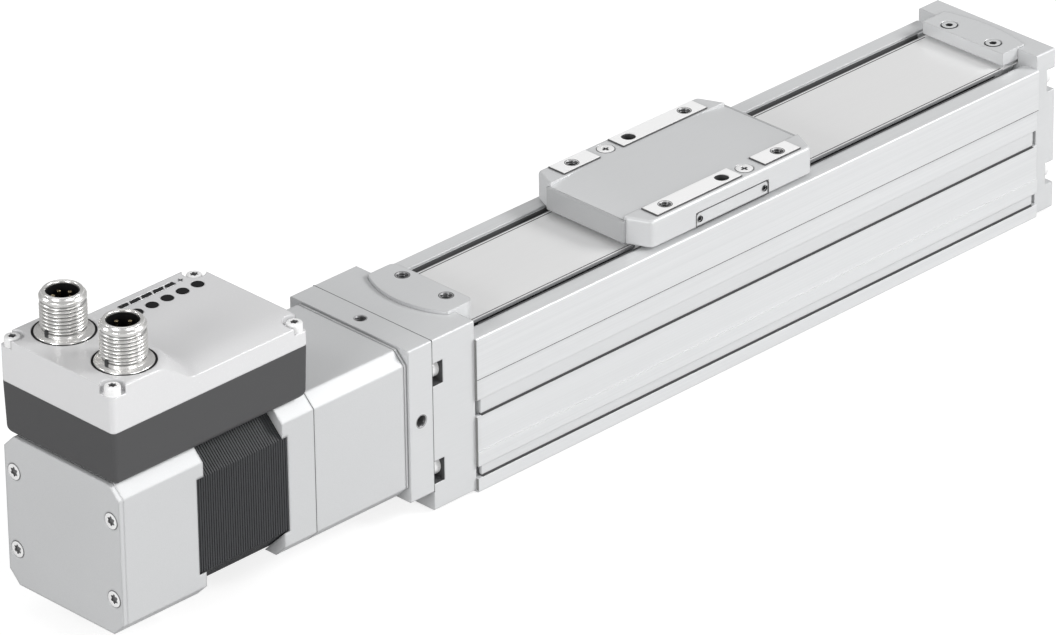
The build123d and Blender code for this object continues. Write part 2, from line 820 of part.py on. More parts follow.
# Spindle: coupling journal, fixed journal, screw, far journal
spindle_start = x_coupling - hub_length
journal_step = bearing_low - lock_nut_width - 1
spindle_end = x_far_bearing + far_bearing_width
screw_end = x_far - spindle_end_gap
track_start = x_fixed_bearing + track_run_out


def track_helix(x_start, length):
    """The line that the ball centres follow, right-handed about the screw axis."""
    return Helix(
        pitch=spindle_lead,
        height=length,
        radius=track_centre_radius,
        center=(x_start, 0, axis_z),
        direction=(1, 0, 0),
    )


def cut_track(x_start, length):
    """Cuts the round-bottomed helical ball track into the part being built."""
    line = track_helix(x_start, length)
    with BuildSketch(Plane(origin=line @ 0, z_dir=line % 0)) as section:
        Circle(track_radius)
    sweep(section.sketch, path=line, is_frenet=True, mode=Mode.SUBTRACT)


with BuildPart() as spindle:
    ring(spindle_start, journal_step, coupling_journal_radius, 0)
    ring(journal_step, x_fixed_bearing, fixed_journal_radius, 0)
    ring(x_fixed_bearing, screw_end, spindle_radius, 0)
    ring(screw_end, spindle_end, far_journal_radius, 0)
    cut_track(track_start, screw_end - track_run_out - track_start)
save(spindle, "spindle")

# Adapter plate between bearing cap and coupling housing
with BuildPart() as adapter_plate:
    adapter_mid_z = (adapter_bottom + bearing_cap_top) / 2
    adapter_mid_x = (x_coupling + x_adapter) / 2
    with BuildSketch(Plane.YZ.offset(x_coupling)) as outline:
        with Locations((0, adapter_mid_z)):
            Rectangle(2 * cap_half_width, bearing_cap_top - adapter_bottom)
        fillet(outline.vertices(), cap_edge_radius)
    extrude(amount=adapter_length)
    with BuildSketch(Plane.YZ.offset(x_coupling)):
        with Locations((0, axis_z)):
            Circle(adapter_bore_radius)
    extrude(amount=adapter_length, mode=Mode.SUBTRACT)
    with BuildSketch(Plane.YZ.offset(x_coupling)):
        with Locations(*adapter_screw_spots):
            Circle(adapter_screw_radius + screw_gap)
    extrude(amount=adapter_length, mode=Mode.SUBTRACT)
    with BuildSketch(Plane.YZ.offset(x_coupling)):
        with Locations(*adapter_screw_spots):
            Circle(adapter_screw_head_radius + screw_gap)
    extrude(amount=adapter_screw_head_length, mode=Mode.SUBTRACT)
    with BuildSketch(Plane.XY.offset(bearing_cap_top)):
        with Locations((adapter_mid_x, 0)):
            Circle(adapter_top_hole_radius)
    extrude(amount=-adapter_hole_depth, mode=Mode.SUBTRACT)
    for side in (-1, 1):
        with BuildSketch(Plane.XZ.offset(side * cap_half_width)):
            with Locations((adapter_mid_x, axis_z)):
                Circle(adapter_side_hole_radius)
        extrude(amount=-side * adapter_hole_depth, mode=Mode.SUBTRACT)
save(adapter_plate, "adapter_plate")

with BuildPart() as adapter_screws:
    screw_along_x(adapter_screw_spots, x_coupling + adapter_screw_head_length, 1, (
        adapter_screw_radius,
        adapter_length - adapter_screw_head_length + adapter_screw_grip,
        adapter_screw_head_radius,
        adapter_screw_head_length,
    ))
save(adapter_screws, "adapter_screws")

# Coupling housing with a thin end lip
with BuildPart() as coupling_housing:
    lip_start = x_coupling - housing_neck_length - housing_lip_thickness
    body_end = lip_start - housing_neck_length
    motor_block(x_flange, body_end, motor_chamfer)
    motor_block(body_end, lip_start, motor_chamfer, housing_neck_depth)
    motor_block(lip_start, lip_start + housing_lip_thickness, motor_chamfer)
    motor_block(lip_start + housing_lip_thickness, x_coupling, motor_chamfer, housing_neck_depth)
    with BuildSketch(Plane.YZ.offset(x_flange)):
        with Locations((0, axis_z)):
            Circle(coupling_housing_bore)
    extrude(amount=coupling_housing_length, mode=Mode.SUBTRACT)
save(coupling_housing, "coupling_housing")

# Jaw coupling: two hubs and a star insert between their jaws
motor_hub_start = x_flange + motor_hub_from_flange
motor_hub_end = motor_hub_start + hub_length
screw_hub_end = x_coupling - hub_end_gap
screw_hub_start = screw_hub_end - hub_length
star_low = motor_hub_end
star_high = screw_hub_start
star_gap = star_high - star_low


def jaws(x_low, x_high, kept):
    """Two opposite jaws of a hub. kept is 1 or -1 and picks the pair of quarters."""
    quarter = hub_radius / 2
    with BuildSketch(Plane.YZ.offset(x_low)) as section:
        with Locations((0, axis_z)):
            Circle(hub_radius)
            Circle(star_web_radius, mode=Mode.SUBTRACT)
            Rectangle(2 * hub_radius, star_arm_width + 2 * assembly_gap, mode=Mode.SUBTRACT)
            Rectangle(star_arm_width + 2 * assembly_gap, 2 * hub_radius, mode=Mode.SUBTRACT)
        with Locations((quarter, axis_z - kept * quarter), (-quarter, axis_z + kept * quarter)):
            Rectangle(hub_radius, hub_radius, mode=Mode.SUBTRACT)
    extrude(section.sketch, amount=x_high - x_low)


with BuildPart() as motor_hub:
    ring(motor_hub_start, motor_hub_end, hub_radius, motor_shaft_radius + bearing_fit)
    jaws(motor_hub_end, motor_hub_end + hub_jaw_length, 1)
save(motor_hub, "motor_hub")

with BuildPart() as screw_hub:
    ring(screw_hub_start, screw_hub_end, hub_radius, coupling_journal_radius + bearing_fit)
    jaws(screw_hub_start - hub_jaw_length, screw_hub_start, -1)
save(screw_hub, "screw_hub")

with BuildPart() as coupling_star:
    with BuildSketch(Plane.YZ.offset(star_low + assembly_gap)):
        with Locations((0, axis_z)):
            Circle(star_web_radius - assembly_gap)
        with Locations((0, axis_z)):
            Rectangle(2 * hub_radius, star_arm_width)
            Rectangle(star_arm_width, 2 * hub_radius)
    extrude(amount=star_gap - 2 * assembly_gap)
save(coupling_star, "coupling_star")

# Motor front flange with corner tabs over the stack
bearing_pocket = motor_bearing_radius + bearing_fit
with BuildPart() as motor_flange:
    motor_block(x_stack, x_flange, motor_chamfer)
    corner_tabs(x_stack - flange_tab_length, x_stack)
    with BuildSketch(Plane.YZ.offset(x_stack)):
        with Locations((0, axis_z)):
            Circle(bearing_pocket)
    extrude(amount=motor_bearing_width + 1, mode=Mode.SUBTRACT)
    with BuildSketch(Plane.YZ.offset(x_stack)):
        with Locations((0, axis_z)):
            Circle(motor_shaft_radius + 1)
    extrude(amount=flange_length, mode=Mode.SUBTRACT)
save(motor_flange, "motor_flange")

# Laminated stack of the motor
with BuildPart() as motor_stack:
    lamination_pitch = stack_length / stack_laminations
    motor_block(x_rear, x_stack, stack_chamfer, stack_inset + lamination_step)
    for index in range(stack_laminations):
        plate_low = x_rear + (index + lamination_gap_share / 2) * lamination_pitch
        plate_high = plate_low + (1 - lamination_gap_share) * lamination_pitch
        motor_block(plate_low, plate_high, stack_chamfer, stack_inset)
    with BuildSketch(Plane.YZ.offset(x_rear)):
        with Locations((0, axis_z)):
            Circle(stack_bore_radius)
    extrude(amount=stack_length, mode=Mode.SUBTRACT)
save(motor_stack, "motor_stack")

# Rear housing with bearing seat and room for the encoder
x_rear_wall = x_rear - motor_bearing_width
end_plate_spots = [
    (side_y * end_plate_screw_y, axis_z + side_z * end_plate_screw_z)
    for side_y in (-1, 1)
    for side_z in (-1, 1)
]
with BuildPart() as motor_rear_housing:
    motor_block(x_plate, x_rear, motor_chamfer)
    corner_tabs(x_rear, x_rear + rear_tab_length)
    with BuildSketch(Plane.YZ.offset(x_plate)):
        with Locations((0, axis_z)):
            Circle(encoder_room_radius)
    extrude(amount=rear_housing_length - motor_bearing_width, mode=Mode.SUBTRACT)
    with BuildSketch(Plane.YZ.offset(x_rear_wall)):
        with Locations((0, axis_z)):
            Circle(bearing_pocket)
    extrude(amount=motor_bearing_width, mode=Mode.SUBTRACT)
    with BuildSketch(Plane.YZ.offset(x_plate)):
        with Locations(*end_plate_spots):
            Circle(end_plate_screw_radius + screw_gap)
    extrude(amount=end_plate_screw_length, mode=Mode.SUBTRACT)
save(motor_rear_housing, "motor_rear_housing")

with BuildPart() as motor_end_plate:
    motor_block(x_end, x_plate, motor_chamfer)
    with BuildSketch(Plane.YZ.offset(x_end)):
        with Locations(*end_plate_spots):
            Circle(end_plate_screw_radius + screw_gap)
    extrude(amount=end_plate_thickness, mode=Mode.SUBTRACT)
    for spot_y, spot_z in end_plate_spots:
        with BuildSketch(Plane.YZ.offset(x_end)):
            with Locations((spot_y, spot_z)):
                Circle(end_plate_head_radius + screw_gap)
        with BuildSketch(Plane.YZ.offset(x_end + end_plate_head_height)):
            with Locations((spot_y, spot_z)):
                Circle(end_plate_screw_radius + screw_gap)
        loft(mode=Mode.SUBTRACT)
save(motor_end_plate, "motor_end_plate")

with BuildPart() as end_plate_screws:
    for spot_y, spot_z in end_plate_spots:
        with BuildSketch(Plane.YZ.offset(x_end)):
            with Locations((spot_y, spot_z)):
                Circle(end_plate_head_radius)
        with BuildSketch(Plane.YZ.offset(x_end + end_plate_head_height)):
            with Locations((spot_y, spot_z)):
                Circle(end_plate_screw_radius)
        loft()
    with BuildSketch(Plane.YZ.offset(x_end + end_plate_head_height)):
        with Locations(*end_plate_spots):
            Circle(end_plate_screw_radius)
    extrude(amount=end_plate_screw_length - end_plate_head_height)
save(end_plate_screws, "end_plate_screws")

# Motor shaft, rotor, motor bearings and encoder magnet
magnet_end = x_plate + encoder_board_thickness + encoder_air_gap + encoder_magnet_thickness
with BuildPart() as motor_shaft:
    ring(magnet_end, x_flange + motor_shaft_stickout, motor_shaft_radius, 0)
save(motor_shaft, "motor_shaft")

with BuildPart() as rotor:
    ring(x_rear + rotor_end_gap, x_stack - rotor_end_gap, rotor_radius, motor_shaft_radius + bearing_fit)
save(rotor, "rotor")

with BuildPart() as motor_bearings:
    shaft_hole = motor_shaft_radius + bearing_fit
    ring(x_rear_wall, x_rear, motor_bearing_radius, shaft_hole)
    ring(x_stack, x_stack + motor_bearing_width, motor_bearing_radius, shaft_hole)
save(motor_bearings, "motor_bearings")

with BuildPart() as encoder_magnet:
    ring(magnet_end - encoder_magnet_thickness, magnet_end, encoder_magnet_radius, 0)
save(encoder_magnet, "encoder_magnet")

# Electronics box: drafted base tray with rounded lower edges
box_mid_x = (x_box + x_box_front) / 2
corner_x = box_length / 2 - lid_screw_inset
corner_y = box_half_width - lid_screw_inset
lid_screw_spots = [(box_mid_x + sx * corner_x, sy * corner_y) for sx in (-1, 1) for sy in (-1, 1)]
with BuildPart() as electronics_base:
    with BuildSketch(Plane.XY.offset(box_split)) as outline:
        with Locations((box_mid_x, 0)):
            RectangleRounded(box_length, 2 * box_half_width, box_corner_radius)
    extrude(amount=-base_height, taper=base_draft)
    fillet(electronics_base.faces().sort_by(Axis.Z)[0].edges().filter_by(Axis.X), base_bottom_radius)
    with BuildSketch(Plane.XY.offset(box_split)):
        with Locations((box_mid_x, 0)):
            Rectangle(box_length - 2 * box_cavity_end, 2 * box_cavity_half_width)
    extrude(amount=-(box_split - board_bottom), mode=Mode.SUBTRACT)
    with BuildSketch(Plane.XY.offset(board_bottom)):
        with Locations((box_mid_x, 0)):
            Rectangle(
                box_length - 2 * box_cavity_end - 2 * board_shelf,
                2 * box_cavity_half_width - 2 * board_shelf,
            )
    extrude(amount=-(board_bottom - motor_top - box_wall), mode=Mode.SUBTRACT)
    with BuildSketch(Plane.XY.offset(box_split)):
        with Locations(*lid_screw_spots):
            Circle(lid_screw_radius + screw_gap)
    extrude(amount=-lid_thread_depth, mode=Mode.SUBTRACT)
save(electronics_base, "electronics_base")

# Circuit board on the tray's shelf and the small one that reads the encoder magnet
with BuildPart() as circuit_boards:
    with BuildSketch(Plane.XY.offset(board_bottom)):
        with Locations((box_mid_x, 0)):
            Rectangle(
                box_length - 2 * box_cavity_end - 2 * assembly_gap,
                2 * box_cavity_half_width - 2 * assembly_gap,
            )
    extrude(amount=board_thickness)
    ring(x_plate, x_plate + encoder_board_thickness, encoder_board_radius, 0)
save(circuit_boards, "circuit_boards")

# Lid: low control field, raised connector deck with a conical ramp, corner pockets
deck_rise = deck_top - panel_top
connector_x = x_box + connector_from_end
deck_corner = box_half_width - connector_y
panel_radius = ((box_half_width - panel_flat_edge) ** 2 + panel_edge_drop**2) / (2 * panel_edge_drop)
ramp_angle = degrees(atan2(deck_ramp, deck_rise))
deck_foot_x = connector_x + deck_corner + deck_ramp
roll_mid_y = box_half_width
blank_half_width = 2 * box_half_width - panel_flat_edge
blank_start = x_box - 2 * box_half_width
blank_bottom = box_split
cone_grow = deck_ramp * (deck_top - blank_bottom) / deck_rise
cone_front = connector_x + deck_corner + cone_grow
cone_back = blank_start + deck_ramp
button_row_length = x_box_front - first_button_from_end - last_button_from_ramp - deck_foot_x
button_pitch = button_row_length / (button_count - 1)


def panel_roll(y):
    """How far the rolled edge of the control field has dropped at y."""
    return panel_radius - sqrt(panel_radius**2 - (y - panel_flat_edge) ** 2)


button_spots = [
    (x_box_front - first_button_from_end - index * button_pitch, button_y) for index in range(button_count)
]
light_bar_length = light_segments * light_segment_length + (light_segments - 1) * light_segment_gap
light_bar_mid = x_box_front - light_bar_from_end - light_bar_length / 2
button_collar_room = 2 * (button_collar_radius + small_running_gap)
connector_spots = [(connector_x, side * connector_y) for side in (-1, 1)]
with BuildPart() as electronics_lid:
    with BuildSketch(Plane.YZ.offset(blank_start)):
        with BuildLine():
            Polyline(
                (-blank_half_width, panel_top - panel_roll(blank_half_width)),
                (-blank_half_width, blank_bottom),
                (blank_half_width, blank_bottom),
                (blank_half_width, panel_top),
                (-panel_flat_edge, panel_top),
            )
            ThreePointArc(
                (-panel_flat_edge, panel_top),
                (-roll_mid_y, panel_top - panel_roll(roll_mid_y)),
                (-blank_half_width, panel_top - panel_roll(blank_half_width)),
            )
        make_face()
    extrude(amount=x_box_front + deck_ramp - blank_start)
    with BuildSketch(Plane.XY.offset(blank_bottom)):
        with Locations(((cone_front + cone_back) / 2, 0)):
            RectangleRounded(
                cone_front - cone_back,
                2 * (box_half_width + cone_grow),
                deck_corner + cone_grow,
            )
    extrude(amount=deck_top - blank_bottom, taper=ramp_angle)
    foot_edges = [
        edge
        for edge in electronics_lid.edges()
        if connector_x < edge.center().X < deck_foot_x + 1
        and abs(edge.center().Y) < blank_half_width - 1
        and blank_bottom < edge.center().Z < panel_top + 1
    ]
    fillet(foot_edges, deck_foot_radius)
    fillet(electronics_lid.faces().sort_by(Axis.Z)[-1].edges().filter_by_position(
        Axis.X, connector_x - deck_corner, x_box_front
    ), deck_edge_radius)
    with BuildSketch(Plane.XY.offset(box_split)):
        with Locations((box_mid_x, 0)):
            RectangleRounded(box_length, 2 * box_half_width, box_corner_radius)
    extrude(amount=deck_height + 1, mode=Mode.INTERSECT)
    for (spot_x, spot_y) in lid_screw_spots:
        at_deck = spot_x < box_mid_x
        floor_z = deck_top - lid_pocket_below_deck if at_deck else panel_top - lid_pocket_below_panel
        with BuildSketch(Plane.XY.offset(floor_z)):
            with Locations((spot_x, spot_y)):
                Circle(lid_pocket_radius)
        extrude(amount=deck_top - floor_z + 1, mode=Mode.SUBTRACT)
    with BuildSketch(Plane.XY.offset(box_split)):
        with Locations(*lid_screw_spots):
            Circle(lid_screw_radius + screw_gap)
    extrude(amount=deck_height, mode=Mode.SUBTRACT)
    with BuildSketch(Plane.XY.offset(box_split)):
        with Locations((box_mid_x, 0)):
            Rectangle(box_length - 2 * box_cavity_end, 2 * box_cavity_half_width)
        with Locations((light_bar_mid, light_bar_y)):
            Rectangle(light_bar_length + light_bar_room, light_bar_width + light_bar_room)
        with Locations((sum(x for x, y in button_spots) / button_count, button_y)):
            Rectangle(button_row_length + button_collar_room, button_collar_room)
    extrude(amount=panel_height - box_wall, mode=Mode.SUBTRACT)
    with BuildSketch(Plane.XY.offset(panel_top - box_wall)):
        deck_room_end = connector_x + deck_corner - box_wall
        deck_room_start = x_box + box_cavity_end
        with Locations(((deck_room_start + deck_room_end) / 2, 0)):
            Rectangle(deck_room_end - deck_room_start, 2 * box_cavity_half_width)
    extrude(amount=deck_rise, mode=Mode.SUBTRACT)
    with BuildSketch(Plane.XY.offset(deck_top)):
        with Locations(*connector_spots):
            Circle(connector_collar_radius + assembly_gap)
    extrude(amount=-connector_seat_depth, mode=Mode.SUBTRACT)
    with BuildSketch(Plane.XY.offset(deck_top)):
        with Locations(*connector_spots):
            Circle(connector_bore_radius)
    extrude(amount=-deck_rise - box_wall, mode=Mode.SUBTRACT)
    with BuildSketch(Plane.XY.offset(deck_top)):
        with Locations(*connector_spots):
            Circle(connector_collar_radius + seal_ring_width + assembly_gap)
    extrude(amount=-seal_ring_depth, mode=Mode.SUBTRACT)
    with BuildSketch(Plane.XY.offset(panel_top)):
        with Locations(*button_spots):
            Circle(button_radius + small_running_gap)
    extrude(amount=-box_wall, mode=Mode.SUBTRACT)
    with BuildSketch(Plane.XY.offset(panel_top)):
        with Locations((light_bar_mid, light_bar_y)):
            SlotOverall(light_bar_length + 2 * assembly_gap, light_bar_width + 2 * assembly_gap)
    extrude(amount=-box_wall, mode=Mode.SUBTRACT)
save(electronics_lid, "electronics_lid")

with BuildPart() as lid_screws:
    for (spot_x, spot_y) in lid_screw_spots:
        at_deck = spot_x < box_mid_x
        floor_z = deck_top - lid_pocket_below_deck if at_deck else panel_top - lid_pocket_below_panel
        with BuildSketch(Plane.XY.offset(floor_z)):
            with Locations((spot_x, spot_y)):
                Circle(lid_screw_head_radius)
        extrude(amount=lid_screw_head_height)
        with BuildSketch(Plane.XY.offset(floor_z)):
            with Locations((spot_x, spot_y)):
                Circle(lid_screw_radius)
        extrude(amount=-(floor_z - box_split + lid_screw_reach))
        with BuildSketch(Plane.XY.offset(floor_z + lid_screw_head_height)):
            with Locations((spot_x, spot_y)):
                RegularPolygon(lid_screw_head_radius * socket_share, 6)
        extrude(amount=-lid_screw_head_height * socket_share, mode=Mode.SUBTRACT)
save(lid_screws, "lid_screws")

# Light bar in the lid, five segments on one light guide
with BuildPart() as light_bar:
    with BuildSketch(Plane.XY.offset(panel_top - light_bar_depth)):
        with Locations((light_bar_mid, light_bar_y)):
            SlotOverall(light_bar_length, light_bar_width)
    extrude(amount=light_bar_depth)
save(light_bar, "light_bar")

# Six push buttons, each with a collar under the lid
for index, (spot_x, spot_y) in enumerate(button_spots):
    with BuildPart() as button:
        lid_underside = panel_top - box_wall
        collar_top = lid_underside - assembly_gap
        with BuildSketch(Plane.XY.offset(collar_top - button_collar_thickness)):
            with Locations((spot_x, spot_y)):
                Circle(button_collar_radius)
        extrude(amount=button_collar_thickness)
        with BuildSketch(Plane.XY.offset(collar_top)):
            with Locations((spot_x, spot_y)):
                Circle(button_radius)
        extrude(amount=panel_top + button_rise - collar_top)
    save(button, f"button_{index + 1}")

# Two round threaded connectors: shells, contact carriers and contacts
connector_tip = deck_top + connector_thread_height
contact_floor = connector_tip - contact_floor_depth
connector_low = deck_top - connector_seat_depth + assembly_gap
collar_top = deck_top + connector_collar_rise
thread_start = collar_top + connector_neck_height
contact_spots = []
for spot, contact_count in zip(connector_spots, (power_contacts, signal_contacts)):
    for index in range(contact_count):
        turn = 2 * pi * index / contact_count
        contact_spots.append((spot[0] + contact_circle * cos(turn), spot[1] + contact_circle * sin(turn)))

with BuildPart() as connector_shells:
    for low, high, radius in (
        (connector_low, collar_top, connector_collar_radius),
        (collar_top, thread_start, connector_neck_radius),
        (thread_start, connector_tip, connector_thread_radius),
    ):
        with BuildSketch(Plane.XY.offset(low)):
            with Locations(*connector_spots):
                Circle(radius)
        extrude(amount=high - low)
    chamfer(connector_shells.edges().group_by(Axis.Z)[-1], connector_tip_chamfer)
    with BuildSketch(Plane.XY.offset(connector_low)):
        with Locations(*connector_spots):
            Circle(connector_bore_radius)
    extrude(amount=connector_tip - connector_low, mode=Mode.SUBTRACT)
save(connector_shells, "connector_shells")

with BuildPart() as contact_carriers:
    with BuildSketch(Plane.XY.offset(connector_low)):
        with Locations(*connector_spots):
            Circle(connector_bore_radius - assembly_gap)
        with Locations(*contact_spots):
            Circle(contact_radius + assembly_gap, mode=Mode.SUBTRACT)
    extrude(amount=contact_floor - connector_low)
save(contact_carriers, "contact_carriers")

with BuildPart() as connector_contacts:
    with BuildSketch(Plane.XY.offset(connector_low - contact_tail)):
        with Locations(*contact_spots):
            Circle(contact_radius)
    extrude(amount=connector_tip - contact_tip_depth - connector_low + contact_tail)
save(connector_contacts, "connector_contacts")

with BuildPart() as connector_seals:
    with BuildSketch(Plane.XY.offset(deck_top - seal_ring_depth)):
        with Locations(*connector_spots):
            Circle(connector_collar_radius + seal_ring_width)
            Circle(connector_collar_radius + assembly_gap, mode=Mode.SUBTRACT)
    extrude(amount=seal_ring_depth)
save(connector_seals, "connector_seals")

# Slide plate with chamfered corners, rolled centre, strip seats and threads
x_low = slide_home - slide_half_length
x_high = slide_home + slide_half_length
nose_y = slide_half_width - slide_facet_y
short_mid = (strip_outer_x + short_strip_inner_x) / 2
short_length = strip_outer_x - short_strip_inner_x
long_mid = (strip_outer_x - long_strip_inner_x) / 2
long_length = strip_outer_x + long_strip_inner_x
strip_places = [
    (slide_home - short_mid, strip_y, short_length),
    (slide_home + long_mid, strip_y, long_length),
    (slide_home - long_mid, -strip_y, long_length),
    (slide_home + short_mid, -strip_y, short_length),
]
thread_spots = [
    (slide_home + sx * slide_thread_x, sy * strip_y) for sx in (-1, 1) for sy in (-1, 1)
]
dowel_spots = [(slide_home, -strip_y), (slide_home, strip_y)]
slide_screw_spots = [(slide_home - slide_screw_x, strip_y), (slide_home + slide_screw_x, -strip_y)]
flange_top = carriage_flange_bottom + carriage_flange_thickness
with BuildPart() as slide_plate:
    with BuildSketch(Plane.XY.offset(slide_bottom)):
        with BuildLine():
            Polyline(
                (x_low, nose_y),
                (x_low, -nose_y),
                (x_low + slide_facet_x, -slide_half_width),
                (x_high - slide_facet_x, -slide_half_width),
                (x_high, -nose_y),
                (x_high, nose_y),
                (x_high - slide_facet_x, slide_half_width),
                (x_low + slide_facet_x, slide_half_width),
                close=True,
            )
        make_face()
    extrude(amount=slide_top - slide_bottom)
    upright_edges = slide_plate.edges().filter_by(Axis.Z)
    fillet([edge for edge in upright_edges if abs(edge.center().Y) > nose_y + 1], slide_corner_radius)
    fillet(slide_plate.faces().sort_by(Axis.Z)[-1].edges().filter_by(Axis.X), slide_edge_radius)
    for end in (-1, 1):
        flat_end = slide_home + end * crown_flat_half
        plate_end = slide_home + end * slide_half_length
        crown_run = slide_half_length - crown_flat_half
        crown_radius = (crown_run**2 + crown_drop**2) / (2 * crown_drop)
        mid_run = crown_run / 2
        mid_drop = crown_radius - sqrt(crown_radius**2 - mid_run**2)
        with BuildSketch(Plane.XZ):
            with BuildLine():
                ThreePointArc(
                    (flat_end, slide_top),
                    (flat_end + end * mid_run, slide_top - mid_drop),
                    (plate_end, slide_top - crown_drop),
                )
                Polyline(
                    (plate_end, slide_top - crown_drop),
                    (plate_end + end, slide_top - crown_drop),
                    (plate_end + end, slide_top + 1),
                    (flat_end, slide_top + 1),
                    (flat_end, slide_top),
                )
            make_face()
        extrude(amount=crown_half_width, both=True, mode=Mode.SUBTRACT)
        with BuildSketch(Plane.XY.offset(slide_bottom)):
            with Locations((plate_end - end * wiper_tongue / 2, 0)):
                Rectangle(wiper_tongue, 2 * (wiper_half_width - wiper_tongue_set_in))
        extrude(amount=wiper_tongue_height + assembly_gap, mode=Mode.SUBTRACT)
    with BuildSketch(Plane.XY.offset(slide_bottom)):
        with Locations((slide_home, 0)):
            Rectangle(
                2 * carriage_half_length + 2 * assembly_gap,
                2 * carriage_flange_half_width + 2 * assembly_gap,
            )
    extrude(amount=flange_top - slide_bottom, mode=Mode.SUBTRACT)
    with BuildSketch(Plane.XY.offset(slide_top)):
        for strip_x, place_y, strip_length in strip_places:
            with Locations((strip_x, place_y)):
                Rectangle(strip_length + 2 * assembly_gap, strip_width + 2 * assembly_gap)
    extrude(amount=-strip_depth, mode=Mode.SUBTRACT)
    with BuildSketch(Plane.XY.offset(slide_top)):
        with Locations(*thread_spots):
            Circle(slide_thread_radius)
    extrude(amount=-(slide_thread_depth - strip_proud), mode=Mode.SUBTRACT)
    with BuildSketch(Plane.XY.offset(slide_top)):
        with Locations(*dowel_spots):
            Circle(slide_dowel_radius)
    extrude(amount=-(slide_dowel_depth - strip_proud), mode=Mode.SUBTRACT)
    with BuildSketch(Plane.XY.offset(slide_top)):
        with Locations(*slide_screw_spots):
            Circle(slide_screw_radius + screw_gap)
    extrude(amount=-(slide_top - slide_bottom), mode=Mode.SUBTRACT)
    for spot_x, spot_y in slide_screw_spots:
        with BuildSketch(Plane.XY.offset(slide_top)):
            with Locations((spot_x, spot_y)):
                Circle(slide_screw_head_radius + screw_gap)
        with BuildSketch(Plane.XY.offset(slide_top - slide_screw_head_height)):
            with Locations((spot_x, spot_y)):
                Circle(slide_screw_radius + screw_gap)
        loft(mode=Mode.SUBTRACT)
    cover_mid_z = slide_bottom + side_cover_height / 2
    cover_seat_depth = side_cover_thickness + side_cover_set_in
    with BuildSketch(Plane.XZ.offset(slide_half_width)):
        with Locations((slide_home, cover_mid_z)):
            Rectangle(
                2 * (side_cover_half_length + side_cover_room),
                side_cover_height + 2 * side_cover_room,
            )
    extrude(amount=-cover_seat_depth, mode=Mode.SUBTRACT)
    with BuildSketch(Plane.XZ.offset(slide_half_width)):
        for sx in (-1, 1):
            with Locations((slide_home + sx * side_cover_screw_x, cover_mid_z)):
                Circle(side_cover_screw_radius)
    extrude(amount=-side_cover_set_in - side_cover_screw_length, mode=Mode.SUBTRACT)
save(slide_plate, "slide_plate")

with BuildPart() as locating_strips:
    with BuildSketch(Plane.XY.offset(slide_top - strip_depth)):
        for strip_x, place_y, strip_length in strip_places:
            with Locations((strip_x, place_y)):
                Rectangle(strip_length, strip_width)
        with Locations(*thread_spots):
            Circle(slide_thread_radius, mode=Mode.SUBTRACT)
        with Locations(*dowel_spots):
            Circle(slide_dowel_radius, mode=Mode.SUBTRACT)
    extrude(amount=strip_depth + strip_proud)
save(locating_strips, "locating_strips")

with BuildPart() as slide_screws:
    for spot_x, spot_y in slide_screw_spots:
        with BuildSketch(Plane.XY.offset(slide_top)):
            with Locations((spot_x, spot_y)):
                Circle(slide_screw_head_radius)
        with BuildSketch(Plane.XY.offset(slide_top - slide_screw_head_height)):
            with Locations((spot_x, spot_y)):
                Circle(slide_screw_radius)
        loft()
    with BuildSketch(Plane.XY.offset(slide_top - slide_screw_head_height)):
        with Locations(*slide_screw_spots):
            Circle(slide_screw_radius)
    extrude(amount=-(slide_screw_length - slide_screw_head_height))
save(slide_screws, "slide_screws")

# Wiper end pieces of the slide
wiper_top = slide_top - crown_drop
with BuildPart() as wipers:
    for end in (-1, 1):
        plate_end = slide_home + end * slide_half_length
        with BuildSketch(Plane.XY.offset(slide_bottom)):
            with Locations((plate_end + end * wiper_thickness / 2, 0)):
                Rectangle(wiper_thickness, 2 * wiper_half_width)
        extrude(amount=wiper_top - slide_bottom)
    for outer_edges in (wipers.edges().group_by(Axis.X)[0], wipers.edges().group_by(Axis.X)[-1]):
        chamfer(outer_edges, wiper_chamfer)
    for end in (-1, 1):
        tongue_x = slide_home + end * (slide_half_length - wiper_tongue / 2 + assembly_gap)
        with BuildSketch(Plane.XY.offset(slide_bottom)):
            with Locations((tongue_x, 0)):
                Rectangle(wiper_tongue, 2 * (wiper_half_width - wiper_tongue_set_in - assembly_gap))
        extrude(amount=wiper_tongue_height)
save(wipers, "wipers")

# Small cover on the slide's side, its screws and the magnet behind it
with BuildPart() as side_cover:
    with BuildSketch(Plane.XZ.offset(slide_half_width - side_cover_set_in)) as outline:
        with Locations((slide_home, cover_mid_z)):
            Rectangle(2 * side_cover_half_length, side_cover_height)
        fillet(outline.vertices().group_by(Axis.Y)[-1], side_cover_corner)
    extrude(amount=-side_cover_thickness)
    with BuildSketch(Plane.XZ.offset(slide_half_width - side_cover_set_in)):
        for sx in (-1, 1):
            with Locations((slide_home + sx * side_cover_screw_x, cover_mid_z)):
                Circle(side_cover_screw_radius + screw_gap)
    extrude(amount=-side_cover_thickness, mode=Mode.SUBTRACT)
save(side_cover, "side_cover")

with BuildPart() as side_cover_screws:
    cover_face = slide_half_width - side_cover_set_in
    with BuildSketch(Plane.XZ.offset(cover_face)):
        for sx in (-1, 1):
            with Locations((slide_home + sx * side_cover_screw_x, cover_mid_z)):
                Circle(side_cover_head_radius)
    extrude(amount=side_cover_head_height)
    with BuildSketch(Plane.XZ.offset(cover_face)):
        for sx in (-1, 1):
            with Locations((slide_home + sx * side_cover_screw_x, cover_mid_z)):
                Circle(side_cover_screw_radius)
    extrude(amount=-side_cover_screw_length)
save(side_cover_screws, "side_cover_screws")

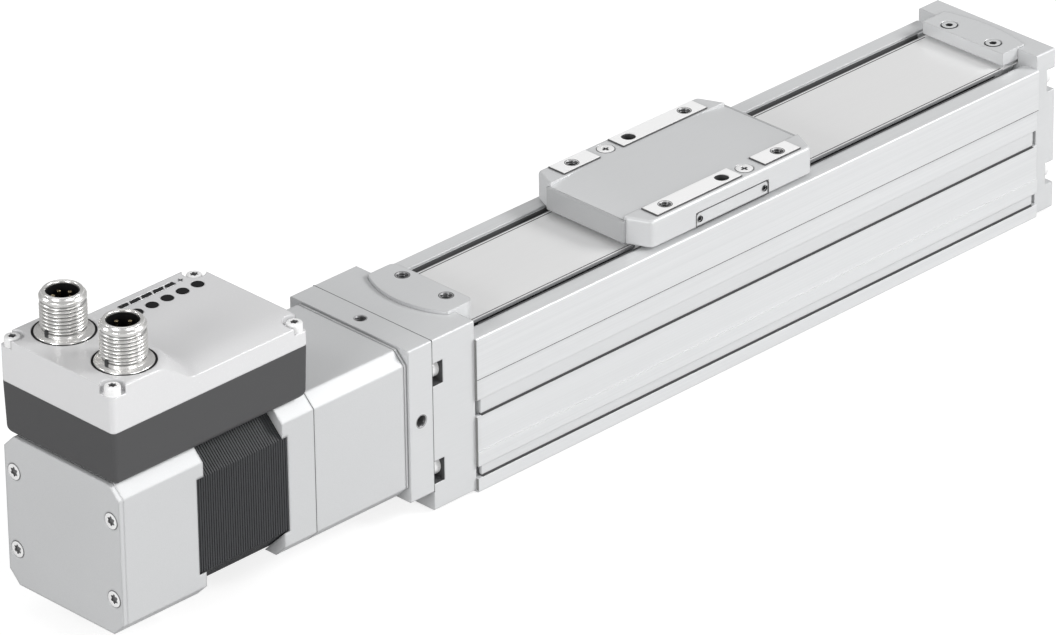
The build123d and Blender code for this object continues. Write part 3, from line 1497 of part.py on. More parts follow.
# Inner carriage: nut block, two webs past the band's edges, top flange
carriage_low = slide_home - carriage_half_length
carriage_length = 2 * carriage_half_length
web_outer = throat_half_width - running_gap - assembly_gap
with BuildPart() as inner_carriage:
    with BuildSketch(Plane.YZ.offset(carriage_low)):
        with Locations((0, (carriage_bottom + carriage_deck_top) / 2)):
            Rectangle(2 * carriage_block_half_width, carriage_deck_top - carriage_bottom)
        with Locations((0, (carriage_deck_bottom + carriage_deck_top) / 2)):
            Rectangle(2 * web_outer, carriage_deck_top - carriage_deck_bottom)
        web_mid_z = (carriage_deck_top + carriage_flange_bottom) / 2
        for side in (-1, 1):
            with Locations((side * (web_outer - web_thickness / 2), web_mid_z)):
                Rectangle(web_thickness, carriage_flange_bottom - carriage_deck_top)
        with Locations((0, carriage_flange_bottom + carriage_flange_thickness / 2)):
            Rectangle(2 * carriage_flange_half_width, carriage_flange_thickness)
        with Locations((0, axis_z)):
            Circle(nut_radius + assembly_gap, mode=Mode.SUBTRACT)
    extrude(amount=carriage_length)
    nut_screw_spots = [
        (nut_screw_circle * cos(radians(angle)), axis_z + nut_screw_circle * sin(radians(angle)))
        for angle in (30, 150, 210, 330)
    ]
    with BuildSketch(Plane.YZ.offset(carriage_low)):
        with Locations(*nut_screw_spots):
            Circle(nut_screw_radius + screw_gap)
    extrude(amount=nut_screw_grip + screw_hole_spare, mode=Mode.SUBTRACT)
    with BuildSketch(Plane.XY.offset(flange_top)):
        with Locations(*slide_screw_spots):
            Circle(slide_screw_radius + screw_gap)
    extrude(amount=-carriage_flange_thickness, mode=Mode.SUBTRACT)
    magnet_spots = [(slide_home, side * (carriage_block_half_width - magnet_depth / 2)) for side in (-1, 1)]
    with BuildSketch(Plane.XY.offset(slot_mid - magnet_height / 2)):
        with Locations(*magnet_spots):
            Rectangle(magnet_length, magnet_depth)
    extrude(amount=magnet_height, mode=Mode.SUBTRACT)
save(inner_carriage, "inner_carriage")

# Magnets in the carriage's flanks, level with the sensor slots
with BuildPart() as sensor_magnets:
    with BuildSketch(Plane.XY.offset(slot_mid - magnet_height / 2 + assembly_gap)):
        with Locations(*magnet_spots):
            Rectangle(magnet_length - 2 * assembly_gap, magnet_depth - 2 * assembly_gap)
    extrude(amount=magnet_height - 2 * assembly_gap)
save(sensor_magnets, "sensor_magnets")

# Runner block that grips the rail, with an end cap at each end
with BuildPart() as runner_block:
    with BuildSketch(Plane.YZ.offset(slide_home - runner_half_length)):
        with Locations((0, (runner_bottom + carriage_bottom) / 2)):
            Rectangle(runner_width, carriage_bottom - runner_bottom)
        with Locations((0, (runner_bottom + rail_top + running_gap) / 2)):
            Rectangle(
                rail_width + 2 * running_gap,
                rail_top + running_gap - runner_bottom,
                mode=Mode.SUBTRACT,
            )
    extrude(amount=2 * runner_half_length)
save(runner_block, "runner_block")

with BuildPart() as runner_end_caps:
    for end_x in (slide_home - runner_half_length - runner_cap_thickness, slide_home + runner_half_length):
        with BuildSketch(Plane.YZ.offset(end_x)):
            with Locations((0, (runner_bottom + carriage_bottom) / 2)):
                Rectangle(runner_width - runner_cap_step, carriage_bottom - runner_bottom - runner_cap_step)
            with Locations((0, (runner_bottom + rail_top + running_gap) / 2)):
                Rectangle(
                    rail_width + 2 * running_gap,
                    rail_top + running_gap - runner_bottom,
                    mode=Mode.SUBTRACT,
                )
        extrude(amount=runner_cap_thickness)
save(runner_end_caps, "runner_end_caps")

# Ball nut, flanged, in the carriage's bore. Its track is in step with the spindle's
nut_low = carriage_low - nut_flange_thickness
nut_track_leads = ceil((nut_flange_thickness + nut_length) / spindle_lead) + 1
nut_track_start = track_start + floor((nut_low - track_start) / spindle_lead) * spindle_lead
with BuildPart() as ball_nut:
    ring(carriage_low - nut_flange_thickness, carriage_low, nut_flange_radius, 0)
    ring(carriage_low, carriage_low + nut_length, nut_radius, 0)
    with BuildSketch(Plane.YZ.offset(carriage_low - nut_flange_thickness)):
        with Locations((0, axis_z)):
            Circle(spindle_radius + nut_bore_gap)
        with Locations(*nut_screw_spots):
            Circle(nut_screw_radius + screw_gap)
    extrude(amount=nut_flange_thickness + nut_length, mode=Mode.SUBTRACT)
    cut_track(nut_track_start, nut_track_leads * spindle_lead)
    for face_x, inward in ((nut_low, 1), (carriage_low + nut_length, -1)):
        with BuildSketch(Plane.YZ.offset(face_x)):
            with Locations((0, axis_z)):
                Circle(track_centre_radius + track_radius + nut_recess_margin)
        extrude(amount=inward * nut_recess_depth, mode=Mode.SUBTRACT)
save(ball_nut, "ball_nut")

with BuildPart() as nut_screws:
    screw_along_x(nut_screw_spots, carriage_low - nut_flange_thickness, 1, (
        nut_screw_radius,
        nut_flange_thickness + nut_screw_grip,
        nut_screw_head_radius,
        nut_screw_head_length,
    ))
save(nut_screws, "nut_screws")
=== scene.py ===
import bpy
import bmesh
import json
from math import cos, pi, radians, sin
from mathutils import Matrix, Vector


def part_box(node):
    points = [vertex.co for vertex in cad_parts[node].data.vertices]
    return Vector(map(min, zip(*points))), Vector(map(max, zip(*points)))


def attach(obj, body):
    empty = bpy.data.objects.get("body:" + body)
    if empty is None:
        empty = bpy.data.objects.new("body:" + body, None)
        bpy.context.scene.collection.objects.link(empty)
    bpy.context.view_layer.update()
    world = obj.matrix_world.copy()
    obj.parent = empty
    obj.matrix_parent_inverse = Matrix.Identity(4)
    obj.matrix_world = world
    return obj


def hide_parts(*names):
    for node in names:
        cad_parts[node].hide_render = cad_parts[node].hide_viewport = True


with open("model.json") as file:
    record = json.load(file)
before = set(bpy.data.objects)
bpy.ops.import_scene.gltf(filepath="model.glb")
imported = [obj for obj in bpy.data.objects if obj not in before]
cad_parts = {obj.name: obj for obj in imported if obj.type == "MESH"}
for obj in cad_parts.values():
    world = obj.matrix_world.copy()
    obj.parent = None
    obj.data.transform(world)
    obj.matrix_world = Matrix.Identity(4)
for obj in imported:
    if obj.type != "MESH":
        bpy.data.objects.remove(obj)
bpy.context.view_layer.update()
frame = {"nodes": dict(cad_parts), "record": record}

# The object's lengths are written in millimetres, and MM turns them into metres.
# Shader lengths, the floor and the lights are in metres.
MM = 0.001
RING = 72
UP_X, UP_Y, UP_Z = Vector((1, 0, 0)), Vector((0, 1, 0)), Vector((0, 0, 1))
SIDES = (-1, 1)

# Camera of the photograph, as fitted to the object's known edges: angles in degrees, reach in metres
CAMERA_AZIMUTH, CAMERA_ELEVATION, CAMERA_ROLL = -44.419, 28.065, -0.785
CAMERA_TARGET = Vector((-65.631, 0.0, 26.935))
CAMERA_DISTANCE = 2089.803
CAMERA_LENS, CAMERA_SENSOR = 275.67, 36.0
CAMERA_REACH = 50.0


def add_camera():
    az, el, roll = radians(CAMERA_AZIMUTH), radians(CAMERA_ELEVATION), radians(CAMERA_ROLL)
    back = Vector((sin(az) * cos(el), -cos(az) * cos(el), sin(el)))
    right = Vector((cos(az), sin(az), 0.0))
    up = back.cross(right)
    x = cos(roll) * right + sin(roll) * up
    y = -sin(roll) * right + cos(roll) * up
    place = (CAMERA_TARGET + back * CAMERA_DISTANCE) * MM
    cam = bpy.data.cameras.new("photo_camera")
    cam.sensor_width = CAMERA_SENSOR
    cam.sensor_fit = "HORIZONTAL"
    cam.lens = CAMERA_LENS
    cam.clip_end = CAMERA_REACH
    ob = bpy.data.objects.new("photo_camera", cam)
    ob.matrix_world = Matrix((
        (x.x, y.x, back.x, place.x),
        (x.y, y.y, back.y, place.y),
        (x.z, y.z, back.z, place.z),
        (0.0, 0.0, 0.0, 1.0),
    ))
    bpy.context.collection.objects.link(ob)
    bpy.context.scene.camera = ob


def srgb(value):
    """A colour written as six hex digits, as Blender's linear values."""
    out = []
    for i in (0, 2, 4):
        c = int(value[i:i + 2], 16) / 255.0
        out.append(c / 12.92 if c <= 0.04045 else ((c + 0.055) / 1.055) ** 2.4)
    return out + [1.0]


def scaled(color, k):
    return [min(1.0, c * k) for c in color[:3]] + [1.0]


# Shader values that all surfaces share. Most of a noise lies between NOISE_LOW and NOISE_HIGH
GRAIN_DETAIL = 3.0
CLOUD_DETAIL, CLOUD_SCALE = 2.0, 20.0
NOISE_LOW, NOISE_HIGH = 0.3, 0.7
LEAST_ROUGHNESS = 0.03
BUMP_STRENGTH = 0.6
BEVEL_SAMPLES = 4


def surface(name, color, rough, metallic=0.0, vary=0.02, grain=4000.0, stretch=(1, 1, 1),
            relief=0.000004, rough_vary=0.05, edge=0.0002, shine=0.5, cloud_share=0.4):
    """A shader with faint colour clouds, a fine grain in colour, gloss and relief, and softened edges.

    relief is the grain's height and edge the radius of the softened edges, both in metres.
    """
    mat = bpy.data.materials.new(name)
    mat.use_nodes = True
    nt = mat.node_tree
    nt.nodes.clear()
    out = nt.nodes.new("ShaderNodeOutputMaterial")
    bsdf = nt.nodes.new("ShaderNodeBsdfPrincipled")
    nt.links.new(bsdf.outputs["BSDF"], out.inputs["Surface"])
    bsdf.inputs["Metallic"].default_value = metallic
    bsdf.inputs["Specular IOR Level"].default_value = shine
    tc = nt.nodes.new("ShaderNodeTexCoord")
    mp = nt.nodes.new("ShaderNodeMapping")
    mp.inputs["Scale"].default_value = stretch
    nt.links.new(tc.outputs["Object"], mp.inputs["Vector"])
    fine = nt.nodes.new("ShaderNodeTexNoise")
    fine.inputs["Scale"].default_value = grain
    fine.inputs["Detail"].default_value = GRAIN_DETAIL
    nt.links.new(mp.outputs["Vector"], fine.inputs["Vector"])
    broad = nt.nodes.new("ShaderNodeTexNoise")
    broad.inputs["Scale"].default_value = CLOUD_SCALE
    broad.inputs["Detail"].default_value = CLOUD_DETAIL
    nt.links.new(tc.outputs["Object"], broad.inputs["Vector"])
    both = nt.nodes.new("ShaderNodeMix")
    both.inputs["Factor"].default_value = cloud_share
    nt.links.new(fine.outputs["Fac"], both.inputs["A"])
    nt.links.new(broad.outputs["Fac"], both.inputs["B"])
    ramp = nt.nodes.new("ShaderNodeValToRGB")
    base = srgb(color)
    dark, light = ramp.color_ramp.elements
    dark.position, light.position = NOISE_LOW, NOISE_HIGH
    dark.color, light.color = scaled(base, 1.0 - vary), scaled(base, 1.0 + vary)
    nt.links.new(both.outputs["Result"], ramp.inputs["Fac"])
    nt.links.new(ramp.outputs["Color"], bsdf.inputs["Base Color"])
    gloss = nt.nodes.new("ShaderNodeMapRange")
    gloss.inputs["From Min"].default_value = NOISE_LOW
    gloss.inputs["From Max"].default_value = NOISE_HIGH
    gloss.inputs["To Min"].default_value = max(LEAST_ROUGHNESS, rough - rough_vary)
    gloss.inputs["To Max"].default_value = min(1.0, rough + rough_vary)
    nt.links.new(fine.outputs["Fac"], gloss.inputs["Value"])
    nt.links.new(gloss.outputs["Result"], bsdf.inputs["Roughness"])
    bump = nt.nodes.new("ShaderNodeBump")
    bump.inputs["Strength"].default_value = BUMP_STRENGTH
    bump.inputs["Distance"].default_value = relief
    nt.links.new(fine.outputs["Fac"], bump.inputs["Height"])
    if edge > 0:
        bevel = nt.nodes.new("ShaderNodeBevel")
        bevel.samples = BEVEL_SAMPLES
        bevel.inputs["Radius"].default_value = edge
        nt.links.new(bevel.outputs["Normal"], bump.inputs["Normal"])
    nt.links.new(bump.outputs["Normal"], bsdf.inputs["Normal"])
    return mat


add_camera()

# The record's material slots, and below them the looks that only this script uses.
# ALONG draws the grain out into streaks along the axis.
ALONG = (0.005, 1, 1)
LOOKS = {
    "anodised": {"color": "cfd0d1", "rough": 0.38, "metallic": 0.12, "grain": 3000, "stretch": (0.05, 1, 1),
                 "edge": 0.00045},
    "blasted": {"color": "c8c9ca", "rough": 0.42, "metallic": 0.1, "vary": 0.05, "grain": 4200,
                "relief": 0.00002, "edge": 0.0009},
    "machined": {"color": "f2f2f2", "rough": 0.35, "vary": 0.01, "grain": 5000},
    "slot_cover": {"color": "cfd0d1", "rough": 0.4, "metallic": 0.1, "vary": 0.03, "grain": 2500,
                   "stretch": ALONG},
    "band": {"color": "f2f2f2", "rough": 0.3, "metallic": 0.3, "vary": 0.01, "grain": 2400, "stretch": ALONG,
             "relief": 0.0000004, "rough_vary": 0.02, "edge": 0.0},
    "steel": {"color": "b4b6b9", "rough": 0.28, "metallic": 0.95, "grain": 3000, "stretch": (1, 0.1, 0.1)},
    "bearing": {"color": "c4c6c9", "rough": 0.18, "metallic": 1.0, "grain": 2000},
    "screw": {"color": "f0f0f0", "rough": 0.3, "metallic": 0.1, "edge": 0.0},
    "hub": {"color": "b8babd", "rough": 0.35, "metallic": 0.9, "grain": 3000, "stretch": (4, 1, 1)},
    "star": {"color": "a03428", "rough": 0.6, "vary": 0.06, "grain": 2000},
    "rubber": {"color": "19191a", "rough": 0.7, "vary": 0.12, "relief": 0.00001, "shine": 0.15},
    "stack": {"color": "3e3f41", "rough": 0.5, "vary": 0.2, "grain": 3000, "stretch": (1, 0.1, 1),
              "shine": 0.25},
    "dark_housing": {"color": "4c4c4d", "rough": 0.5, "vary": 0.05, "grain": 6000, "relief": 0.00001,
                     "shine": 0.3},
    "lid": {"color": "dededf", "rough": 0.26, "metallic": 0.15, "vary": 0.012, "grain": 6000,
            "relief": 0.000001, "rough_vary": 0.015, "edge": 0.0005},
    "light_guide": {"color": "1d1d1e", "rough": 0.3, "vary": 0.06, "grain": 2000, "shine": 0.2},
    "nickel": {"color": "eeedeb", "rough": 0.24, "metallic": 0.8, "vary": 0.01, "grain": 3000,
               "relief": 0.0, "rough_vary": 0.01, "edge": 0.0},
    "brass": {"color": "b9a98a", "rough": 0.25, "metallic": 1.0, "grain": 3000},
    "black_plastic": {"color": "151516", "rough": 0.5, "vary": 0.12, "grain": 5000, "shine": 0.15},
    "wiper": {"color": "acadae", "rough": 0.36, "edge": 0.0006},
    "board": {"color": "1f5a3c", "rough": 0.4, "vary": 0.12, "grain": 1500},
    "magnet": {"color": "6b6d70", "rough": 0.35, "metallic": 0.8, "grain": 2500},
    "extrusion": {"color": "d8d9da", "rough": 0.36, "metallic": 0.2, "vary": 0.035, "grain": 2200,
                  "stretch": ALONG, "relief": 0.000006, "cloud_share": 0.15},
    # The next look is the plus mark's real print, and also painted shade on the keying notches, the side
    # cover's screws and the far clamp's sockets
    "print_and_shade": {"color": "3c3d3e", "rough": 0.6, "grain": 8000, "shine": 0.2, "edge": 0.0},
    "dull": {"color": "cdcecf", "rough": 0.4, "metallic": 0.1, "edge": 0.0},
    # The next look is painted shade: a mid grey down in the connectors' thread grooves and on the profile's
    # end face
    "painted_shade_grey": {"color": "8b8b8a", "rough": 0.35, "metallic": 0.5, "relief": 0.0, "edge": 0.0},
    # The next look is painted shade inside the screws' recesses and in the gap round countersunk heads
    "recess": {"color": "7c7c7d", "rough": 0.45, "metallic": 0.3, "edge": 0.0},
    # The next look is a dark grey that paints the shade down the holes' liners
    "tapped": {"color": "6f6f70", "rough": 0.35, "metallic": 0.6, "vary": 0.05, "grain": 3000, "edge": 0.0},
    # The next look is painted shade, the grey of the cover band's skirts down in the gap beside it
    "painted_gap_shade": {"color": "8b8c8e", "rough": 0.5, "grain": 3000, "stretch": ALONG, "relief": 0.000001,
                "edge": 0.0},
    # The next look is painted shade: dark lines and sheets put in joints, gaps, grooves and hollows where
    # shade falls
    "painted_shade_dark": {"color": "555556", "rough": 0.7, "grain": 8000, "shine": 0.1, "edge": 0.0},
}
MATS = {name: surface(name, **look) for name, look in LOOKS.items()}

# Every CAD node takes its slot's look, except for the profile, whose drawn streaks are its own
slot_of = {s["node"]: s["material_slot"] for s in frame["record"]["subparts"]}
slot_of["profile"] = "extrusion"
for node_name, node in frame["nodes"].items():
    if not node.data.materials:
        node.data.materials.append(MATS[slot_of[node_name]])
    for i in range(len(node.material_slots)):
        node.material_slots[i].material = MATS[slot_of[node_name]]


# Mesh helpers: every turned or moulded piece is a stack of loops of points
def circle(center, u, v, radius_at, count=RING):
    """A loop of points round center in the plane of u and v; radius_at gives the radius for an angle."""
    points = []
    for i in range(count):
        turn = 2 * pi * i / count
        points.append(center + (u * cos(turn) + v * sin(turn)) * radius_at(turn))
    return points


def round_of(size):
    return lambda turn: size


def rings_up(x, y, sections, count=RING):
    """Level loops round an upright line; a section is a height with a radius, or a radius for each angle."""
    loops = []
    for z, radius in sections:
        radius_at = radius if callable(radius) else round_of(radius)
        loops.append(circle(Vector((x, y, z)), UP_X, UP_Y, radius_at, count))
    return loops


def across(out):
    """Two directions square to out."""
    u = UP_Z if abs(out.z) < 0.5 else UP_X
    return u, out.cross(u)


def add_stack(bm, loops, close_start=True, close_end=True, inner_rows=0, dark_rows=()):
    """Joins loops of equal count by quads. The first inner_rows and the dark_rows take material 1."""
    rows = [[bm.verts.new(p * MM) for p in loop] for loop in loops]
    count = len(rows[0])
    for row, (low, high) in enumerate(zip(rows, rows[1:])):
        for i in range(count):
            k = (i + 1) % count
            face = bm.faces.new((low[i], low[k], high[k], high[i]))
            face.material_index = 1 if row < inner_rows or row in dark_rows else 0
    if close_start:
        face = bm.faces.new(list(reversed(rows[0])))
        face.material_index = 1 if inner_rows else 0
    if close_end:
        bm.faces.new(rows[-1])


def add_bar(bm, low, high):
    """A thin straight strip between two corners."""
    loops = []
    for z in (low[2], high[2]):
        loops.append([Vector((x, y, z)) for x, y in (
            (low[0], low[1]), (high[0], low[1]), (high[0], high[1]), (low[0], high[1]))])
    add_stack(bm, loops)


def add_side_bar(bm, side, x_span, y_span, z_span):
    """A strip on the side of the object that side names; y_span is measured outwards."""
    ys = sorted((side * y_span[0], side * y_span[1]))
    add_bar(bm, (x_span[0], ys[0], z_span[0]), (x_span[1], ys[1], z_span[1]))


def add_outline(bm, corners, place, width, depth):
    """A closed line along corners; place turns a corner and an offset into a point."""
    middle = [sum(c[i] for c in corners) / len(corners) for i in (0, 1)]
    rings = []
    for grow, lift in ((0, 0), (0, depth), (width, depth), (width, 0)):
        ring = []
        for a, b in corners:
            ring.append(place(
                a + (grow if a > middle[0] else -grow),
                b + (grow if b > middle[1] else -grow),
                lift,
            ))
        rings.append([bm.verts.new(p * MM) for p in ring])
    count = len(corners)
    for j, first in enumerate(rings):
        second = rings[(j + 1) % len(rings)]
        for i in range(count):
            k = (i + 1) % count
            bm.faces.new((first[i], first[k], second[k], second[i]))


def add_piece(name, bm, body, slot, replaced=(), smooth_angle=30.0, second="recess"):
    """Makes a piece of the mesh, on a body, in a material, in place of the CAD nodes that it replaces."""
    bmesh.ops.recalc_face_normals(bm, faces=bm.faces)
    mesh = bpy.data.meshes.new(name)
    bm.to_mesh(mesh)
    bm.free()
    for polygon in mesh.polygons:
        polygon.use_smooth = True
    mesh.set_sharp_from_angle(angle=radians(smooth_angle))
    mesh.materials.append(MATS[slot])
    if any(polygon.material_index for polygon in mesh.polygons):
        mesh.materials.append(MATS[second])
    ob = bpy.data.objects.new(name, mesh)
    bpy.context.collection.objects.link(ob)
    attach(ob, body)
    if replaced:
        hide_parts(*replaced)


# Outlines of the screw recesses, as a radius for each angle
LOBE_MEAN, LOBE_SWING, LOBES = 0.86, 0.14, 6
CROSS_ARM, CROSS_LEAST_SINE = 0.34, 0.05


def six_lobes(size):
    return lambda turn: size * (LOBE_MEAN + LOBE_SWING * cos(LOBES * turn))


def cross_slots(size):
    def radius(turn):
        off = (turn + pi / 4) % (pi / 2) - pi / 4
        return min(size, CROSS_ARM * size / max(abs(sin(off)), CROSS_LEAST_SINE))
    return radius


def hexagon(size):
    return lambda turn: size * cos(pi / 6) / cos((turn % (pi / 3)) - pi / 6)


# Shape of a recess and of a head's rounded edge, as shares, and two small steps
FLOOR_SHARE, WALL_SHARE, MOUTH_SHARE, ROUNDING_SHARE = 0.55, 0.85, 1.06, 0.3
MOUTH_STEP, NECK_STEP = 0.1, 0.01
# Rows of faces in the recess, and those of the rim, which is dark where a countersink's gap shows; both take
# the second material, painted shade
RECESS_ROWS, RIM_ROWS = 2, (4, 5)
COUNTERSUNK_EDGE = 0.24


def add_screw(bm, top, out, head_radius, head_height, recess, depth, shank_radius, length,
              countersunk=False, edge=COUNTERSUNK_EDGE):
    """A screw whose head's top centre is at top and points along out, with a real recess in it."""
    u, v = across(out)

    def at(below, shape):
        return circle(top - out * below, u, v, shape)
    under = shank_radius if countersunk else head_radius
    loops = [
        at(depth, lambda turn: FLOOR_SHARE * recess(turn)),
        at(depth * WALL_SHARE, recess),
        at(MOUTH_STEP, recess),
        at(0.0, lambda turn: MOUTH_SHARE * recess(turn)),
        at(0.0, round_of(head_radius - edge)),
        at(edge * ROUNDING_SHARE, round_of(head_radius - edge * ROUNDING_SHARE)),
        at(edge, round_of(head_radius)),
        at(head_height, round_of(under)),
        at(head_height + NECK_STEP, round_of(shank_radius)),
        at(length, round_of(shank_radius)),
    ]
    add_stack(bm, loops, inner_rows=RECESS_ROWS, dark_rows=RIM_ROWS if countersunk else ())


# Levels and places that the pieces below share with the CAD model
AXIS_Z = 28.0
DECK_TOP = 76.4
PANEL_TOP = 71.0
CONNECTOR_X, CONNECTOR_Y = -214.1, 10.95
CONNECTOR_FOOT, CONNECTOR_TIP = 73.45, 87.9
CONNECTOR_BORE = 4.25
SLIDE_X = -11.2
SLIDE_TOP = 53.6
STRIP_Y = 17.0
CLAMP_HOLE_Y = 8.0

# Connector shells: the thread, with THREAD_ROWS loops to a turn, and the height and radius of
# each section below and above it
SHELL_RING = 96
THREAD_PITCH, THREAD_CREST, THREAD_ROOT = 1.0, 6.0, 5.35
THREAD_LOW, THREAD_HIGH = DECK_TOP + 1.2, 85.6
THREAD_ROWS = 10
TOOTH_POWER = 0.6
# Between these radii the thread's faces are painted darker, as painted shade in its groove
GROOVE_INNER, GROOVE_OUTER = 4.4, THREAD_ROOT + 0.22
SHELL_SMOOTH_ANGLE = 80.0
WELD_DISTANCE = 0.000001
SHELL_FOOT = (
    (CONNECTOR_FOOT, CONNECTOR_BORE), (CONNECTOR_FOOT, 7.58), (76.5, 7.58), (76.7, 7.4), (76.72, 5.75),
    (76.8, 5.7), (77.6, 5.7),
)
SHELL_MOUTH = (
    (85.75, 5.8), (85.95, 5.97), (86.6, 5.97), (86.8, 5.85), (87.05, 5.45), (87.3, 5.3), (87.65, 5.25),
    (87.83, 5.1), (CONNECTOR_TIP, 4.85), (CONNECTOR_TIP, 4.6), (87.78, 4.36), (87.5, 4.26),
    (79.0, CONNECTOR_BORE), (CONNECTOR_FOOT, CONNECTOR_BORE),
)


def shell_thread(z):
    """Radius for each angle of a right-hand thread at a height; it fades out at both ends."""
    def radius(turn):
        phase = (z / THREAD_PITCH - turn / (2 * pi)) % 1.0
        tooth = (0.5 - 0.5 * cos(2 * pi * phase)) ** TOOTH_POWER
        fade = min(1.0, (z - THREAD_LOW) / THREAD_PITCH, (THREAD_HIGH - z) / THREAD_PITCH)
        return THREAD_ROOT + (THREAD_CREST - THREAD_ROOT) * (tooth * max(fade, 0.0))
    return radius


def add_connector_shells():
    """Threaded shells: round collar, plain neck, right-hand thread, rolled tip, bore."""
    bm = bmesh.new()
    rows = int((THREAD_HIGH - THREAD_LOW) / THREAD_PITCH * THREAD_ROWS)
    levels = [THREAD_LOW + i * THREAD_PITCH / THREAD_ROWS for i in range(rows + 1)]
    sections = [*SHELL_FOOT, *((z, shell_thread(z)) for z in levels), *SHELL_MOUTH]
    for side in SIDES:
        loops = rings_up(CONNECTOR_X, side * CONNECTOR_Y, sections, SHELL_RING)
        add_stack(bm, loops, close_start=False, close_end=False)
    bmesh.ops.remove_doubles(bm, verts=bm.verts, dist=WELD_DISTANCE)
    # Faces down in the thread's groove take the second material, painted shade
    for face in bm.faces:
        middle = face.calc_center_median() / MM
        out = Vector((middle.x - CONNECTOR_X, abs(middle.y) - CONNECTOR_Y)).length
        in_shaded_groove = THREAD_LOW < middle.z < THREAD_HIGH and GROOVE_INNER < out < GROOVE_OUTER
        face.material_index = 1 if in_shaded_groove else 0
    add_piece("connector_shells_threaded", bm, "frame", "nickel", ("connector_shells",),
              SHELL_SMOOTH_ANGLE, "painted_shade_grey")


# Contact carriers: a tube with a rib inside, closed by the insert that the contacts stand in
CARRIER_RADIUS, CARRIER_BORE = 4.23, 3.98
RIB_RADIUS, RIB_HALF_ANGLE = 3.55, 0.16


def carrier_bore(turn):
    return RIB_RADIUS if abs(turn - pi) < RIB_HALF_ANGLE else CARRIER_BORE


CARRIER_SECTIONS = (
    (CONNECTOR_FOOT, CARRIER_RADIUS), (87.2, CARRIER_RADIUS), (87.3, 4.1), (87.3, carrier_bore),
    (79.9, carrier_bore), (79.9, 1.0), (79.6, 0.9),
)


def add_contact_carriers():
    """Black inserts with a liner up to the mouth and a keying rib, like those of a round plug."""
    bm = bmesh.new()
    for side in SIDES:
        add_stack(bm, rings_up(CONNECTOR_X, side * CONNECTOR_Y, CARRIER_SECTIONS))
    add_piece("contact_carriers_lined", bm, "frame", "black_plastic", ("contact_carriers",))


# Keying notches, in X from the connector's middle
NOTCH_XS, NOTCH_HALF_WIDTH, NOTCH_ZS = (-6.02, -5.0), 0.45, (76.75, 78.5)


def add_keying_notches():
    """A dark bar, painted shade of the keying notch low on each connector's neck."""
    bm = bmesh.new()
    for side in SIDES:
        y = side * CONNECTOR_Y
        add_bar(bm, (CONNECTOR_X + NOTCH_XS[0], y - NOTCH_HALF_WIDTH, NOTCH_ZS[0]),
                (CONNECTOR_X + NOTCH_XS[1], y + NOTCH_HALF_WIDTH, NOTCH_ZS[1]))
    add_piece("connector_notch_shades", bm, "frame", "print_and_shade")


# Places of the screws. For the lid's, a row gives X, the head's top and the pocket's floor
LID_SCREWS = (
    (-224.65, DECK_TOP - 0.05, DECK_TOP - 2.45),
    (-164.35, PANEL_TOP - 0.45, PANEL_TOP - 2.85),
)
LID_SCREW_Y, LID_SCREW_END = 18.25, 53.2
END_PLATE_SCREW_Y, END_PLATE_SCREW_RISE = 17.8, 11.0
SLIDE_SCREW_STEP = 8.5
SIDE_COVER_SCREW_XS, SIDE_COVER_SCREW_Z = (-23.25, 0.85), 47.35
FAR_CLAMP_SCREW_X = 103.37


def add_lid_screws():
    bm = bmesh.new()
    for x, top, floor_z in LID_SCREWS:
        for side in SIDES:
            add_screw(bm, Vector((x, side * LID_SCREW_Y, top)), UP_Z, head_radius=2.1,
                      head_height=top - floor_z, recess=six_lobes(1.15), depth=1.1, shank_radius=1.2,
                      length=top - LID_SCREW_END, edge=0.55)
    add_piece("lid_screws_lobed", bm, "frame", "screw", ("lid_screws",))


def add_end_plate_screws():
    bm = bmesh.new()
    out_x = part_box("end_plate_screws")[0].x / MM
    for y in (-END_PLATE_SCREW_Y, END_PLATE_SCREW_Y):
        for z in (AXIS_Z - END_PLATE_SCREW_RISE, AXIS_Z + END_PLATE_SCREW_RISE):
            add_screw(bm, Vector((out_x, y, z)), -UP_X, head_radius=2.37, head_height=1.2,
                      recess=six_lobes(1.35), depth=0.9, shank_radius=1.25, length=7.0, countersunk=True)
    add_piece("end_plate_screws_lobed", bm, "frame", "screw", ("end_plate_screws",))


def add_slide_screws():
    bm = bmesh.new()
    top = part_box("slide_screws")[1].z / MM
    for x, y in ((SLIDE_X - SLIDE_SCREW_STEP, STRIP_Y), (SLIDE_X + SLIDE_SCREW_STEP, -STRIP_Y)):
        add_screw(bm, Vector((x, y, top)), UP_Z, head_radius=2.55, head_height=1.4,
                  recess=cross_slots(1.1), depth=0.9, shank_radius=1.4, length=7.0, countersunk=True)
    add_piece("slide_screws_cross", bm, "slide", "screw", ("slide_screws",))


def add_side_cover_screws():
    # These screws are dark all over, head and socket, as painted shade of the dark holes they sit in
    bm = bmesh.new()
    out_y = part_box("side_cover_screws")[0].y / MM
    for x in SIDE_COVER_SCREW_XS:
        add_screw(bm, Vector((x, out_y, SIDE_COVER_SCREW_Z)), -UP_Y, head_radius=0.85, head_height=0.35,
                  recess=hexagon(0.78), depth=0.9, shank_radius=0.5, length=2.5, edge=0.02)
    add_piece("side_cover_screws_socket", bm, "slide", "print_and_shade", ("side_cover_screws",), second="rubber")


def add_far_clamp_screws():
    bm = bmesh.new()
    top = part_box("far_clamp_screws")[1].z / MM
    for y in (-CLAMP_HOLE_Y, CLAMP_HOLE_Y):
        add_screw(bm, Vector((FAR_CLAMP_SCREW_X, y, top)), UP_Z, head_radius=2.3, head_height=1.3,
                  recess=hexagon(1.1), depth=1.0, shank_radius=1.5, length=9.0, countersunk=True)
    # The sockets take the dark print grey as painted shade
    add_piece("far_clamp_screws_socket", bm, "frame", "dull", ("far_clamp_screws",), second="print_and_shade")


